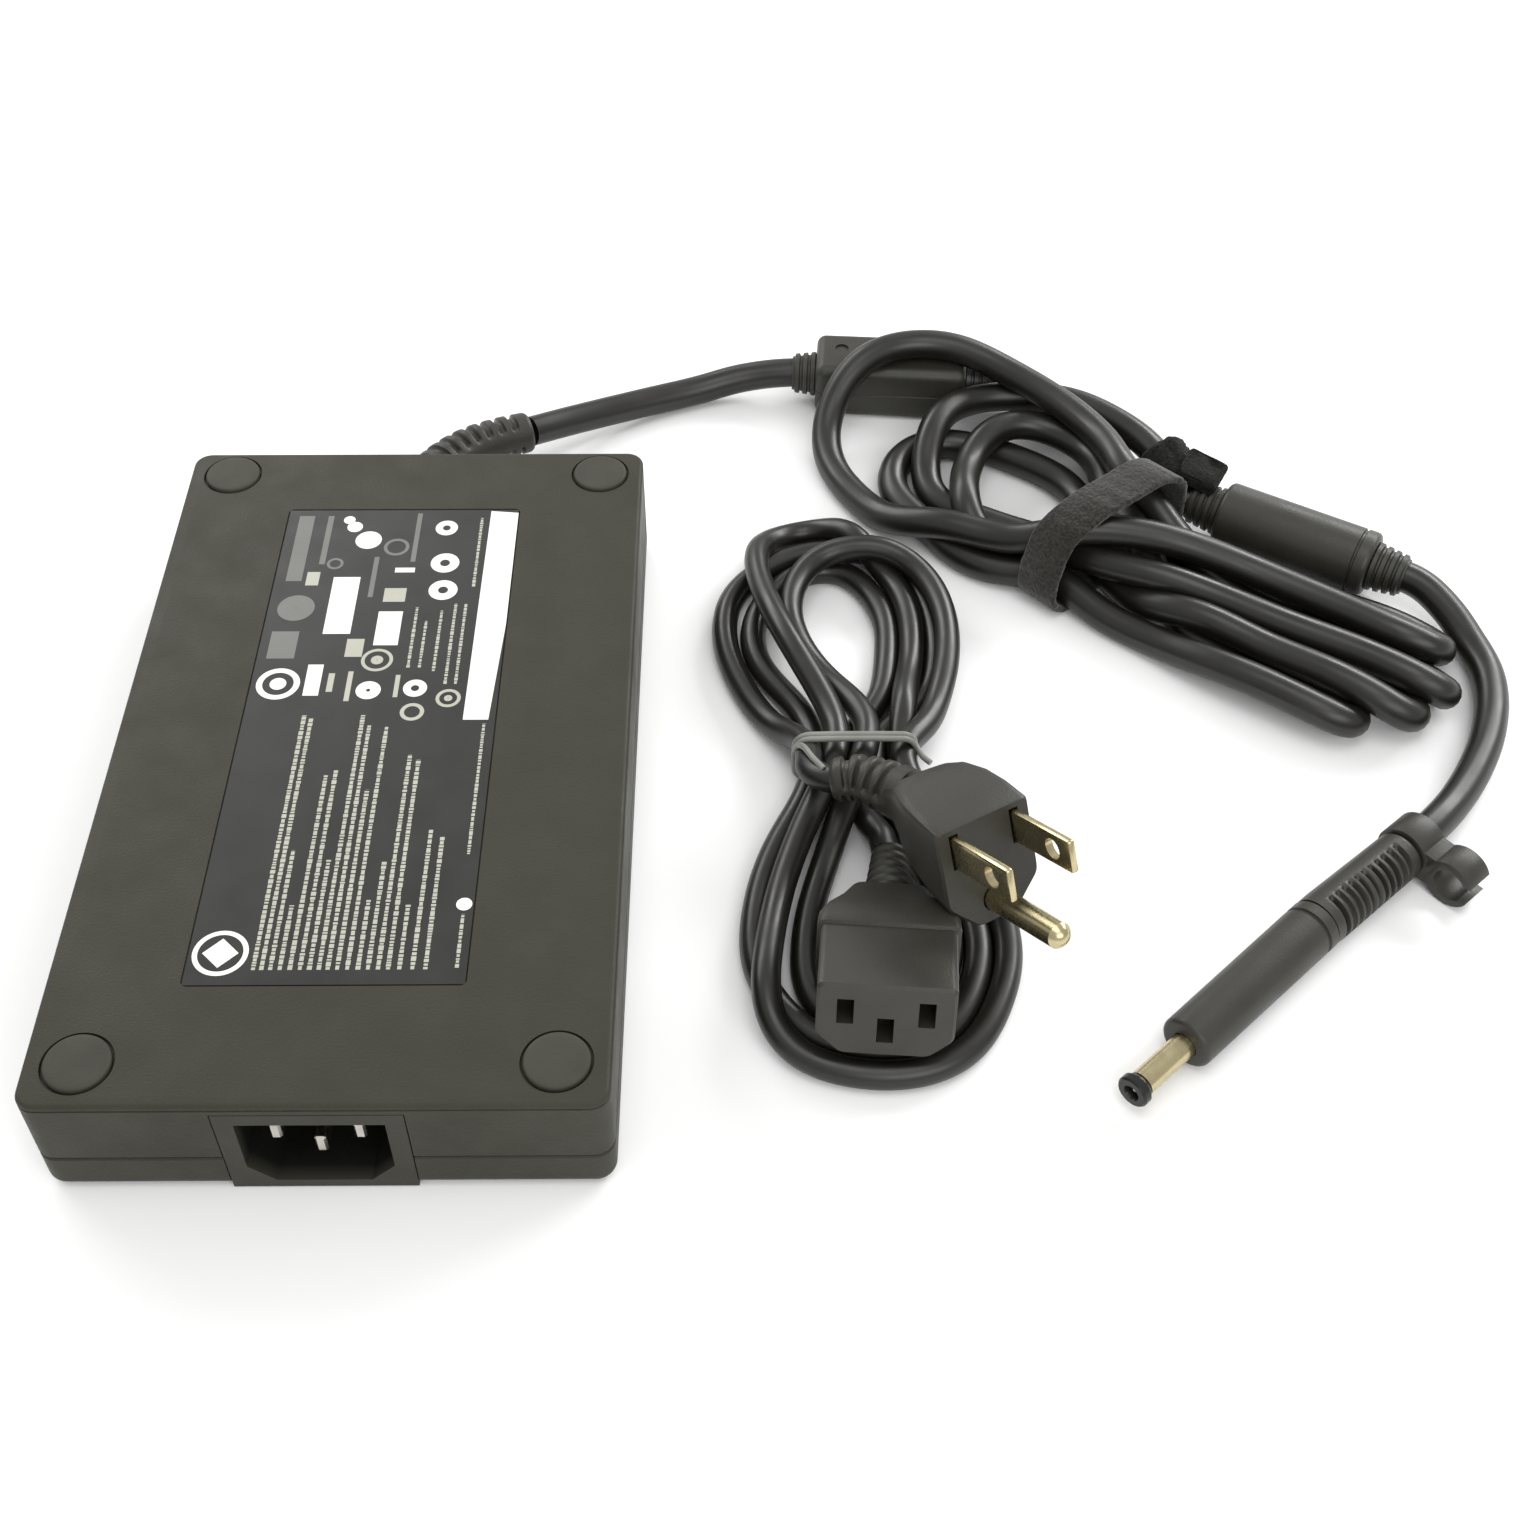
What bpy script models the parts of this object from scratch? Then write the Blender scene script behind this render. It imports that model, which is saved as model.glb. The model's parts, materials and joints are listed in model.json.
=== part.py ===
"""Laptop power adapter: a flat two-shell case, its low-voltage cord and a loose mains lead.

The case lies with its label side up and its plain side on z = 0. +Y runs from the mains
inlet to the low-voltage cord, +X to the right of it. All sizes are in metres.
"""

from math import cos, hypot, pi, radians, sin

import bmesh
import bpy
from mathutils import Euler, Matrix, Vector

GAP = 0.0003

# Case
CASE_WIDTH = 0.096
CASE_LENGTH = 0.165
CASE_HEIGHT = 0.0246
SEAM_HEIGHT = 0.0092
WALL = 0.0022
CORNER_RADIUS = 0.0035
LABEL_EDGE_RADIUS = 0.0009
PLAIN_EDGE_RADIUS = 0.0030
RIM_LINE_HEIGHT = 0.0234
RIM_LINE_SIZE = 0.0005
FRONT = -CASE_LENGTH / 2
BACK = CASE_LENGTH / 2

# Rubber feet, on the label side
FOOT_RADIUS = 0.0056
FOOT_RECESS_RADIUS = 0.0061
FOOT_RECESS_DEPTH = 0.0009
FOOT_PROUD = 0.0006
FOOT_X = 0.0390
FOOT_Y = {"front": -0.0740, "back": 0.0752}

# Rating label
LABEL_WIDTH = 0.0476
LABEL_LENGTH = 0.1220
LABEL_CENTRE = Vector((-0.0012, 0.0026, 0))
LABEL_RECESS = 0.0004
LABEL_THICKNESS = 0.00025

# Mains inlet
INLET_X = -0.0010
PANEL_WIDTH = 0.0312
PANEL_HEIGHT = 0.0216
PANEL_BOTTOM = 0.0004
PANEL_THICKNESS = 0.0030
INLET_BODY = Vector((0.0276, 0.0180, 0.0200))
INLET_BODY_MIDDLE = 0.0114
SOCKET = Vector((0.0246, 0.0150, 0.0168))
SOCKET_CHAMFER = 0.0043
SOCKET_MIDDLE = 0.0108
PIN_SPACING = 0.0140
PIN_OFFSET = 0.0040
INLET_PIN = Vector((0.0020, 0.0205, 0.0040))
PIN_SETBACK = 0.0028

# Circuit board and its parts
BOARD = Vector((0.0860, 0.1340, 0.0016))
BOARD_CENTRE = Vector((0, 0.0075, 0.0042))
PARTS_BASE = 0.0053
SPREADER_THICKNESS = 0.0004

# Low-voltage cord
DC_CORD_RADIUS = 0.0034
OUTLET = Vector((-0.0020, BACK, 0.0104))
OUTLET_HOLE_RADIUS = 0.0042

# Where the low-voltage cord runs between the case and the first ferrite, and past it
DC_LEAD_ROUTE = [
    (0.0205, 0.1098, 0.0088),
    (0.0280, 0.1155, 0.0070),
    (0.0370, 0.1213, 0.0054),
    (0.0470, 0.1268, 0.0042),
    (0.0580, 0.1315, 0.0038),
    (0.0690, 0.1342, 0.0054),
    (0.0800, 0.1343, 0.0069),
    (0.0950, 0.1333, 0.0069),
    (0.1270, 0.1310, 0.0069),
]
# Where it runs from the hank through the second ferrite and round to its plug
DC_TAIL_ROUTE = [
    (0.1682, 0.0863, 0.0072),
    (0.1755, 0.0821, 0.0074),
    (0.1900, 0.0734, 0.0074),
    (0.2051, 0.0644, 0.0074),
    (0.2140, 0.0590, 0.0071),
    (0.2188, 0.0522, 0.0058),
    (0.2220, 0.0440, 0.0042),
    (0.2236, 0.0360, 0.0036),
    (0.2226, 0.0270, 0.0035),
    (0.2196, 0.0180, 0.0035),
    (0.2146, 0.0085, 0.0037),
    (0.2080, -0.0010, 0.0043),
    (0.2018, -0.0080, 0.0052),
    (0.1968, -0.0127, 0.0054),
    (0.1943, -0.0149, 0.0054),
]
OUTLET_BOOT_ROUTE = [
    (-0.0020, BACK + 0.0010, 0.0104),
    (-0.0012, BACK + 0.0065, 0.0104),
    (0.0020, BACK + 0.0130, 0.0103),
    (0.0075, BACK + 0.0195, 0.0099),
    (0.0140, BACK + 0.0240, 0.0094),
    (0.0200, BACK + 0.0270, 0.0089),
]

# First ferrite, a block, and second ferrite, a sleeve
BLOCK_SIZE = Vector((0.0355, 0.0155, 0.0136))
BLOCK_CENTRE = Vector((0.1045, 0.1326, 0.0069))
BLOCK_YAW = radians(-4)
FERRITE_BORE_RADIUS = 0.0038
BLOCK_CORE_RADIUS = 0.0053
BLOCK_CORE_LENGTH = 0.0280
SLEEVE_START = Vector((0.1755, 0.0821, 0.0074))
SLEEVE_END = Vector((0.2051, 0.0644, 0.0074))
SLEEVE_RADIUS = 0.0071
SLEEVE_CORE_RADIUS = 0.0058

# Hank of low-voltage cord, and the strap round it
HANK_HEIGHT = 0.0184
HANK_OUTLINE = [
    (0.0845, 0.1140), (0.0855, 0.1020), (0.0930, 0.0890), (0.1040, 0.0790),
    (0.1160, 0.0690), (0.1300, 0.0640), (0.1425, 0.0585), (0.1520, 0.0480), (0.1680, 0.0325),
    (0.1830, 0.0190), (0.1930, 0.0165), (0.2080, 0.0190), (0.2160, 0.0290),
    (0.2130, 0.0420), (0.1950, 0.0560), (0.1760, 0.0650), (0.1640, 0.0790),
    (0.1640, 0.0900), (0.1690, 0.1010), (0.1600, 0.1220), (0.1450, 0.1340),
    (0.1310, 0.1340), (0.1290, 0.1220), (0.1100, 0.1195), (0.0920, 0.1210),
]
UPPER_LOOP_OUTLINE = [
    (0.0880, 0.1160), (0.0920, 0.1290), (0.1030, 0.1365), (0.1180, 0.1365),
    (0.1320, 0.1290), (0.1400, 0.1160), (0.1200, 0.1080), (0.1000, 0.1080),
]
UPPER_LOOP_BASE = 0.0142
UPPER_LOOP_TOP = 0.0210
STRAP_CENTRE = Vector((0.1465, 0.0722, 0))
STRAP_YAW = radians(-45)
STRAP_INNER = Vector((0.0340, 0.0192))
STRAP_THICKNESS = 0.0016
STRAP_WIDTH = 0.0100
STRAP_CORNER = 0.0032
STRAP_HEAD = Vector((0.0096, 0.0070, 0.0100))
STRAP_HEAD_RISE = 0.0061

# Low-voltage plug and the cord clip behind it
PLUG_YAW = radians(223.2)
PLUG_START = Vector((0.1750, -0.0315, 0.0054))
PLUG_BODY_LENGTH = 0.0390
PLUG_BODY_RADIUS = 0.0052
BARREL_RADIUS = 0.0024
BARREL_REACH = 0.0118
PLUG_TIP_RADIUS = 0.0031
PLUG_TIP_LENGTH = 0.0026
CLIP_CENTRE = Vector((0.1968, -0.0127, 0.0054))
CLIP_YAW = radians(221.0)
CLIP_WIDTH = 0.0064
CLIP_RING_RADIUS = 0.0054
CLIP_HOOK_DISTANCE = 0.0102
CLIP_HOOK_RADIUS = 0.0050
CLIP_HOOK_BORE = 0.0033
CLIP_MOUTH = 0.0042

# Mains connector that fits the inlet
CONNECTOR_FACE = Vector((0.0936, -0.0604, 0.0157))
CONNECTOR_YAW = radians(-94.5)
CONNECTOR_PITCH = radians(11)
CONNECTOR_WIDTH = 0.0240
CONNECTOR_HEIGHT = 0.0162
CONNECTOR_LENGTH = 0.0310
CONTACT_SLOT = Vector((0.0026, 0.0047))
CONTACT_DEPTH = 0.0160
CONTACT_LENGTH = 0.0080

# Mains plug for the wall, whose blades are level and whose nose points up
WALL_PLUG_FACE = Vector((0.1117, -0.0326, 0.0313))
WALL_PLUG_OUT = Vector((0.469, -0.780, 0.413))
WALL_PLUG_UP = Vector((-0.193, 0.366, 0.910))
WALL_PLUG_LENGTH = 0.0260
WALL_PLUG_NECK_ROUTE = [
    (0.1012, -0.0135, 0.0194), (0.0955, -0.0080, 0.0179), (0.0910, -0.0052, 0.0168),
    (0.0864, -0.0047, 0.0156),
]
BLADE = Vector((0.0170, 0.0015, 0.00635))
BLADE_SPACING = 0.0127
BLADE_HOLE_RADIUS = 0.0020
BLADE_HOLE_REACH = 0.0119
EARTH_RADIUS = 0.0024
EARTH_LENGTH = 0.0205
EARTH_DROP = 0.0119
BLADE_SEAT = 0.0030

# Mains cord, wound and tied
MAINS_CORD_RADIUS = 0.0027
UPPER_COIL_HEIGHT = 0.0130
UPPER_COIL_OUTLINE = [
    (0.0815, 0.0054), (0.0790, 0.0150), (0.0695, 0.0310), (0.0628, 0.0500), (0.0690, 0.0710),
    (0.0830, 0.0833), (0.0970, 0.0770), (0.1110, 0.0630), (0.1142, 0.0440),
    (0.1085, 0.0250), (0.1035, 0.0150), (0.1009, 0.0054),
]
LOWER_COIL_HEIGHT = 0.0054
LOWER_COIL_OUTLINE = [
    (0.0830, 0.0051), (0.0745, -0.0150), (0.0695, -0.0340), (0.0745, -0.0530),
    (0.0930, -0.0645), (0.1120, -0.0600), (0.1205, -0.0410), (0.1165, -0.0200), (0.1005, 0.0051),
]
LOWER_COIL_HOLE = [
    (0.0915, -0.0132), (0.0835, -0.0240), (0.0795, -0.0390), (0.0830, -0.0490), (0.0930, -0.0530),
    (0.1050, -0.0500), (0.1095, -0.0390), (0.1070, -0.0240), (0.1015, -0.0132),
]
TIE_CENTRE = Vector((0.0912, 0.0085, 0.0075))
TIE_WIRE_RADIUS = 0.0009
TIE_INNER = Vector((0.0220, 0.0110))
TIE_CORNER = 0.0030

COLOURS = {
    "case_plastic": ((0.047, 0.046, 0.036), 0.62, 0.0),
    "foot_rubber": ((0.030, 0.030, 0.026), 0.80, 0.0),
    "label_film": ((0.040, 0.040, 0.038), 0.45, 0.0),
    "inlet_plastic": ((0.034, 0.034, 0.028), 0.55, 0.0),
    "pin_metal": ((0.72, 0.70, 0.64), 0.25, 1.0),
    "brass": ((0.78, 0.66, 0.34), 0.28, 1.0),
    "board": ((0.05, 0.16, 0.07), 0.50, 0.0),
    "capacitor_sleeve": ((0.03, 0.04, 0.09), 0.40, 0.0),
    "ferrite": ((0.06, 0.06, 0.065), 0.60, 0.0),
    "winding_tape": ((0.72, 0.55, 0.12), 0.45, 0.0),
    "copper": ((0.72, 0.33, 0.18), 0.35, 1.0),
    "film_case": ((0.65, 0.52, 0.16), 0.45, 0.0),
    "chip_epoxy": ((0.03, 0.03, 0.03), 0.50, 0.0),
    "aluminium": ((0.70, 0.71, 0.72), 0.38, 1.0),
    "insulation": ((0.10, 0.10, 0.10), 0.55, 0.0),
    "cord_jacket": ((0.022, 0.022, 0.020), 0.35, 0.0),
    "moulded_rubber": ((0.040, 0.040, 0.034), 0.55, 0.0),
    "strap_fabric": ((0.040, 0.040, 0.036), 0.90, 0.0),
    "tip_plastic": ((0.015, 0.015, 0.015), 0.40, 0.0),
    "tie_wire": ((0.16, 0.16, 0.15), 0.45, 0.0),
}


# Scene and object helpers

def clear_scene():
    for obj in list(bpy.data.objects):
        bpy.data.objects.remove(obj, do_unlink=True)


def new_collection(name):
    collection = bpy.data.collections.new(name)
    bpy.context.scene.collection.children.link(collection)
    return collection


def material(name):
    found = bpy.data.materials.get(name)
    if found:
        return found
    colour, roughness, metallic = COLOURS[name]
    made = bpy.data.materials.new(name)
    made.use_nodes = True
    shader = made.node_tree.nodes["Principled BSDF"]
    shader.inputs["Base Color"].default_value = (*colour, 1)
    shader.inputs["Roughness"].default_value = roughness
    shader.inputs["Metallic"].default_value = metallic
    return made


def add_part(name, data, finish):
    obj = bpy.data.objects.new(name, data)
    data.materials.append(material(finish))
    PARTS.objects.link(obj)
    return obj


def add_cutter(name, data):
    obj = bpy.data.objects.new(name, data)
    CUTTERS.objects.link(obj)
    obj.hide_render = True
    obj.display_type = "WIRE"
    return obj


def combine(target, other, operation="DIFFERENCE"):
    modifier = target.modifiers.new(f"{operation.lower()}_{other.name}", "BOOLEAN")
    modifier.operation = operation
    modifier.solver = "EXACT"
    modifier.object = other


def place(obj, location, rotation=None):
    turn = rotation.to_matrix() if isinstance(rotation, Euler) else rotation
    obj.matrix_world = Matrix.Translation(location) @ (turn.to_4x4() if turn else Matrix())
    return obj


def frame_along(direction, up=(0, 0, 1)):
    """Rotation that turns local +X to the direction and keeps local +Z as near to up as it can."""
    along = Vector(direction).normalized()
    side = Vector(up).cross(along).normalized()
    return Matrix((along, side, along.cross(side))).transposed()


def finish_mesh(name, bm, smooth_angle=radians(35)):
    bmesh.ops.recalc_face_normals(bm, faces=bm.faces)
    mesh = bpy.data.meshes.new(name)
    bm.to_mesh(mesh)
    bm.free()
    mesh.shade_smooth()
    mesh.set_sharp_from_angle(angle=smooth_angle)
    return mesh


# Shape helpers

def edges_at(bm, axis, value):
    return [e for e in bm.edges if all(abs(v.co[axis] - value) < 1e-7 for v in e.verts)]


def upright_edges(bm):
    return [e for e in bm.edges if hypot(*(e.verts[0].co - e.verts[1].co).xy) < 1e-7]


def round_edges(bm, edges, radius, segments):
    bmesh.ops.bevel(
        bm, geom=edges, offset=radius, segments=segments, profile=0.5, affect="EDGES"
    )


def box(size, upright=0, top=0, bottom=0, segments=2):
    """A block centred on the origin, with its upright, top and bottom edges rounded."""
    bm = bmesh.new()
    bmesh.ops.create_cube(bm, size=1)
    bmesh.ops.scale(bm, vec=size, verts=bm.verts)
    if upright:
        round_edges(bm, upright_edges(bm), upright, segments + 1)
    if top:
        round_edges(bm, edges_at(bm, 2, size[2] / 2), top, segments)
    if bottom:
        round_edges(bm, edges_at(bm, 2, -size[2] / 2), bottom, segments)
    return bm


def cylinder(radius, length, sides=20, far_radius=None, edge=0):
    """A cylinder or cone along +Z from -length/2 to length/2."""
    bm = bmesh.new()
    far = radius if far_radius is None else far_radius
    bmesh.ops.create_cone(
        bm, cap_ends=True, segments=sides, radius1=radius, radius2=far, depth=length
    )
    if edge:
        round_edges(bm, edges_at(bm, 2, length / 2), edge, 2)
    return bm


def bar(length, width, height, corner):
    """A bar along X whose four long edges are rounded."""
    bm = box((width, height, length), corner)
    lay = Matrix(((0, 0, 1), (1, 0, 0), (0, 1, 0)))
    bmesh.ops.rotate(bm, verts=bm.verts, matrix=lay)
    return bm


def along_x(bm):
    """Turns a shape made along +Z so that it lies along +X."""
    bmesh.ops.rotate(bm, verts=bm.verts, matrix=Matrix.Rotation(pi / 2, 3, "Y"))
    return bm


def add_box(name, finish, size, location, upright=0, top=0, bottom=0):
    bm = box(size, upright, top, bottom)
    return place(add_part(name, finish_mesh(name, bm), finish), location)


def add_turned(name, finish, profile, steps, location, rotation, loop=False):
    """A turned piece along local +X. The profile is (distance along, radius), far end first."""
    mesh = bpy.data.meshes.new(name)
    points = [(radius, 0, along) for along, radius in profile]
    edges = [(i, i + 1) for i in range(len(points) - 1)]
    if loop:
        edges.append((len(points) - 1, 0))
    mesh.from_pydata(points, edges, [])
    obj = add_part(name, mesh, finish)
    screw = obj.modifiers.new("turn", "SCREW")
    screw.steps = steps
    screw.render_steps = steps
    screw.use_merge_vertices = True
    screw.merge_threshold = 0.00001
    screw.use_smooth_shade = True
    upright_to_x = Matrix.Rotation(pi / 2, 3, "Y")
    return place(obj, location, rotation @ upright_to_x)


def smooth_path(route, spacing):
    """Points about one spacing apart on a Catmull-Rom curve through the route."""
    points = [Vector(p) for p in route]
    points = [2 * points[0] - points[1], *points, 2 * points[-1] - points[-2]]
    fine = []
    for a, b, c, d in zip(points, points[1:], points[2:], points[3:]):
        for step in range(12):
            t = step / 12
            fine.append(
                0.5 * (2 * b + (c - a) * t + (2 * a - 5 * b + 4 * c - d) * t**2
                       + (3 * b - a - 3 * c + d) * t**3)
            )
    fine.append(points[-2])
    length = sum((q - p).length for p, q in zip(fine, fine[1:]))
    count = max(2, round(length / spacing))
    even = [fine[0]]
    walked = 0
    for p, q in zip(fine, fine[1:]):
        walked += (q - p).length
        while walked >= len(even) * length / count - 1e-9 and len(even) < count:
            even.append(q.lerp(p, (walked - len(even) * length / count) / (q - p).length))
    return [*even, fine[-1]]


def tube_curve(name, points, radii, sides=2):
    """A round tube through the points; radii is one radius, or one for each point."""
    curve = bpy.data.curves.new(name, "CURVE")
    curve.dimensions = "3D"
    curve.bevel_resolution = sides
    curve.use_fill_caps = True
    if not isinstance(radii, list):
        radii = [radii] * len(points)
    curve.bevel_depth = max(radii)
    spline = curve.splines.new("POLY")
    spline.points.add(len(points) - 1)
    for knot, point, radius in zip(spline.points, points, radii):
        knot.co = (*point, 1)
        knot.radius = radius / curve.bevel_depth
    return curve


def add_tube(name, finish, points, radii):
    return add_part(name, tube_curve(name, points, radii), finish)


def outline_curve(name, outlines, thickness, flat_end=False, resolution=3):
    """A flat curve through each outline's points, filled and extruded about its middle.

    With flat_end, the side between an outline's last point and its first is straight.
    """
    curve = bpy.data.curves.new(name, "CURVE")
    curve.dimensions = "2D"
    curve.fill_mode = "BOTH"
    curve.extrude = thickness / 2
    curve.resolution_u = resolution
    for outline in outlines:
        spline = curve.splines.new("BEZIER")
        spline.bezier_points.add(len(outline) - 1)
        for knot, point in zip(spline.bezier_points, outline):
            knot.co = (*point, 0)
            knot.handle_left_type = "AUTO"
            knot.handle_right_type = "AUTO"
        if flat_end:
            for knot in (spline.bezier_points[0], spline.bezier_points[-1]):
                knot.handle_left_type = "VECTOR"
                knot.handle_right_type = "VECTOR"
        spline.use_cyclic_u = True
    return curve


def mesh_from_curve(obj):
    """Replaces a curve object by a mesh object of the same shape and place, with its caps welded."""
    bpy.context.view_layer.update()
    evaluated = obj.evaluated_get(bpy.context.evaluated_depsgraph_get())
    mesh = bpy.data.meshes.new_from_object(evaluated)
    bm = bmesh.new()
    bm.from_mesh(mesh)
    bmesh.ops.remove_doubles(bm, verts=bm.verts, dist=0.000001)
    bm.to_mesh(mesh)
    bm.free()
    name = obj.name
    collection = obj.users_collection[0]
    matrix = obj.matrix_world.copy()
    hidden = obj.hide_render
    bpy.data.objects.remove(obj, do_unlink=True)
    made = bpy.data.objects.new(name, mesh)
    collection.objects.link(made)
    made.matrix_world = matrix
    made.hide_render = hidden
    if hidden:
        made.display_type = "WIRE"
    return made


def loft(sections):
    """A closed body through sections of equally many points, each a list of positions."""
    bm = bmesh.new()
    rings = [[bm.verts.new(point) for point in section] for section in sections]
    count = len(rings[0])
    for near, far in zip(rings, rings[1:]):
        for i in range(count):
            j = (i + 1) % count
            bm.faces.new((near[i], near[j], far[j], far[i]))
    bm.faces.new(rings[0][::-1])
    bm.faces.new(rings[-1])
    return bm


def ribbed(points, start_radius, end_radius, groove, ribs):
    """Points and radii of a tapered boot with ribs and grooves between its two plain ends."""
    lengths = [0]
    for p, q in zip(points, points[1:]):
        lengths.append(lengths[-1] + (q - p).length)

    def point_at(share):
        target = share * lengths[-1]
        for i, (low, high) in enumerate(zip(lengths, lengths[1:])):
            if target <= high or i == len(lengths) - 2:
                return points[i].lerp(points[i + 1], (target - low) / (high - low))

    marks = [(0, 0)]
    first, last = 0.16, 0.94
    pitch = (last - first) / ribs
    for rib in range(ribs):
        start = first + rib * pitch
        marks += [(start, 0), (start + 0.12 * pitch, 1), (start + 0.48 * pitch, 1),
                  (start + 0.60 * pitch, 0)]
    marks.append((1, 0))
    radii = [start_radius + (end_radius - start_radius) * share - groove * cut
             for share, cut in marks]
    return [point_at(share) for share, _ in marks], radii


# Case

def add_case_shell(name, bottom, top, top_radius, bottom_radius, open_end):
    height = top - bottom
    middle = Vector((0, 0, (top + bottom) / 2))
    size = (CASE_WIDTH, CASE_LENGTH, height)
    shell = add_box(name, "case_plastic", size, middle, CORNER_RADIUS, top_radius, bottom_radius)
    inside = (CASE_WIDTH - 2 * WALL, CASE_LENGTH - 2 * WALL, height)
    hollow = add_cutter(f"{name}_hollow", finish_mesh(name, box(inside, CORNER_RADIUS - WALL)))
    place(hollow, middle + Vector((0, 0, open_end * WALL)))
    combine(shell, hollow)
    return shell


def add_rim_line_cutter():
    """A thin ring round the case that leaves a fine line just under the label side's edge."""
    bm = box((CASE_WIDTH, CASE_LENGTH, RIM_LINE_SIZE), CORNER_RADIUS)
    flat = [f for f in bm.faces if abs(f.normal.z) > 0.5]
    bmesh.ops.delete(bm, geom=flat, context="FACES_ONLY")
    ring = add_cutter("rim_line", finish_mesh("rim_line", bm))
    wall = ring.modifiers.new("wall", "SOLIDIFY")
    wall.thickness = 2 * RIM_LINE_SIZE
    wall.offset = 0
    return place(ring, (0, 0, RIM_LINE_HEIGHT))


def add_inlet_notch():
    size = (PANEL_WIDTH + 4 * GAP, 4 * WALL, 2 * (PANEL_BOTTOM + PANEL_HEIGHT + GAP))
    notch = add_cutter("inlet_notch", finish_mesh("inlet_notch", box(size)))
    return place(notch, (INLET_X, FRONT, 0))


def add_inlet_seat():
    """Room in the plain side's floor for the inlet's body."""
    size = INLET_BODY + Vector((2 * GAP, 0.004, 2 * GAP))
    seat = add_cutter("inlet_seat", finish_mesh("inlet_seat", box(size)))
    return place(seat, (INLET_X, FRONT + INLET_BODY.y / 2, INLET_BODY_MIDDLE))


def add_outlet_hole():
    bm = cylinder(OUTLET_HOLE_RADIUS, 4 * WALL, 20)
    hole = add_cutter("outlet_hole", finish_mesh("outlet_hole", bm))
    return place(hole, OUTLET, Euler((pi / 2, 0, 0)))


def add_feet_and_recesses(shell):
    for row, y in FOOT_Y.items():
        for side, sign in (("left", -1), ("right", 1)):
            centre = Vector((sign * FOOT_X, y, CASE_HEIGHT))
            bm = cylinder(FOOT_RECESS_RADIUS, 2 * FOOT_RECESS_DEPTH, 20)
            recess = add_cutter(f"foot_recess_{row}_{side}", finish_mesh("foot_recess", bm))
            combine(shell, place(recess, centre))
            height = FOOT_RECESS_DEPTH + FOOT_PROUD - GAP
            name = f"foot_{row}_{side}"
            bm = cylinder(FOOT_RADIUS, height, 20, edge=0.0003)
            foot = add_part(name, finish_mesh(name, bm), "foot_rubber")
            place(foot, centre + Vector((0, 0, FOOT_PROUD - height / 2)))


def add_label_and_recess(shell):
    size = (LABEL_WIDTH + 2 * GAP, LABEL_LENGTH + 2 * GAP, 2 * LABEL_RECESS)
    recess = add_cutter("label_recess", finish_mesh("label_recess", box(size)))
    combine(shell, place(recess, LABEL_CENTRE + Vector((0, 0, CASE_HEIGHT))))
    size = (LABEL_WIDTH, LABEL_LENGTH, LABEL_THICKNESS)
    height = CASE_HEIGHT - LABEL_RECESS + 0.0001 + LABEL_THICKNESS / 2
    add_box("rating_label", "label_film", size, LABEL_CENTRE + Vector((0, 0, height)))


def add_case():
    label_side = add_case_shell(
        "label_side_shell", SEAM_HEIGHT + GAP / 2, CASE_HEIGHT, LABEL_EDGE_RADIUS, 0, -1
    )
    plain_side = add_case_shell(
        "plain_side_shell", 0, SEAM_HEIGHT - GAP / 2, 0, PLAIN_EDGE_RADIUS, 1
    )
    combine(label_side, add_rim_line_cutter())
    notch = add_inlet_notch()
    hole = add_outlet_hole()
    for shell in (label_side, plain_side):
        combine(shell, notch)
        combine(shell, hole)
    combine(plain_side, add_inlet_seat())
    add_feet_and_recesses(label_side)
    add_label_and_recess(label_side)


# Mains inlet

def chamfered_block(size, chamfer):
    """A block whose two lower long edges, along Y, are cut off at an angle."""
    bm = bmesh.new()
    bmesh.ops.create_cube(bm, size=1)
    bmesh.ops.scale(bm, vec=size, verts=bm.verts)
    low = [e for e in bm.edges
           if all(v.co.z < 0 for v in e.verts) and abs((e.verts[0].co - e.verts[1].co).y) > 1e-6]
    round_edges(bm, low, chamfer, 1)
    return bm


def inlet_pin_places():
    upper = SOCKET_MIDDLE + PIN_OFFSET / 2
    return {
        "line": (INLET_X - PIN_SPACING / 2, upper),
        "neutral": (INLET_X + PIN_SPACING / 2, upper),
        "earth": (INLET_X, upper - PIN_OFFSET),
    }


def add_inlet():
    middle = PANEL_BOTTOM + PANEL_HEIGHT / 2
    size = (PANEL_WIDTH, PANEL_THICKNESS, PANEL_HEIGHT)
    housing = add_box(
        "inlet_housing", "inlet_plastic", size, (INLET_X, FRONT + PANEL_THICKNESS / 2, middle)
    )
    body = add_cutter("inlet_body", finish_mesh("inlet_body", box(INLET_BODY)))
    place(body, (INLET_X, FRONT + 0.001 + INLET_BODY.y / 2, INLET_BODY_MIDDLE))
    combine(housing, body, "UNION")
    bm = chamfered_block((SOCKET.x, 2 * SOCKET.y, SOCKET.z), SOCKET_CHAMFER)
    socket = add_cutter("inlet_socket", finish_mesh("inlet_socket", bm))
    combine(housing, place(socket, (INLET_X, FRONT, SOCKET_MIDDLE)))
    pin_middle = FRONT + PIN_SETBACK + INLET_PIN.y / 2
    for name, (x, z) in inlet_pin_places().items():
        hole_size = INLET_PIN + Vector((2 * GAP, 0.004, 2 * GAP))
        hole = add_cutter(f"inlet_{name}_hole", finish_mesh("pin_hole", box(hole_size)))
        combine(housing, place(hole, (x, pin_middle, z)))
        node = f"inlet_{name}_pin"
        pin = add_box(node, "pin_metal", INLET_PIN, (x, pin_middle, z))
        edge = pin.modifiers.new("edge", "BEVEL")
        edge.width = 0.0004
        edge.segments = 1


# Inside the case

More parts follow.
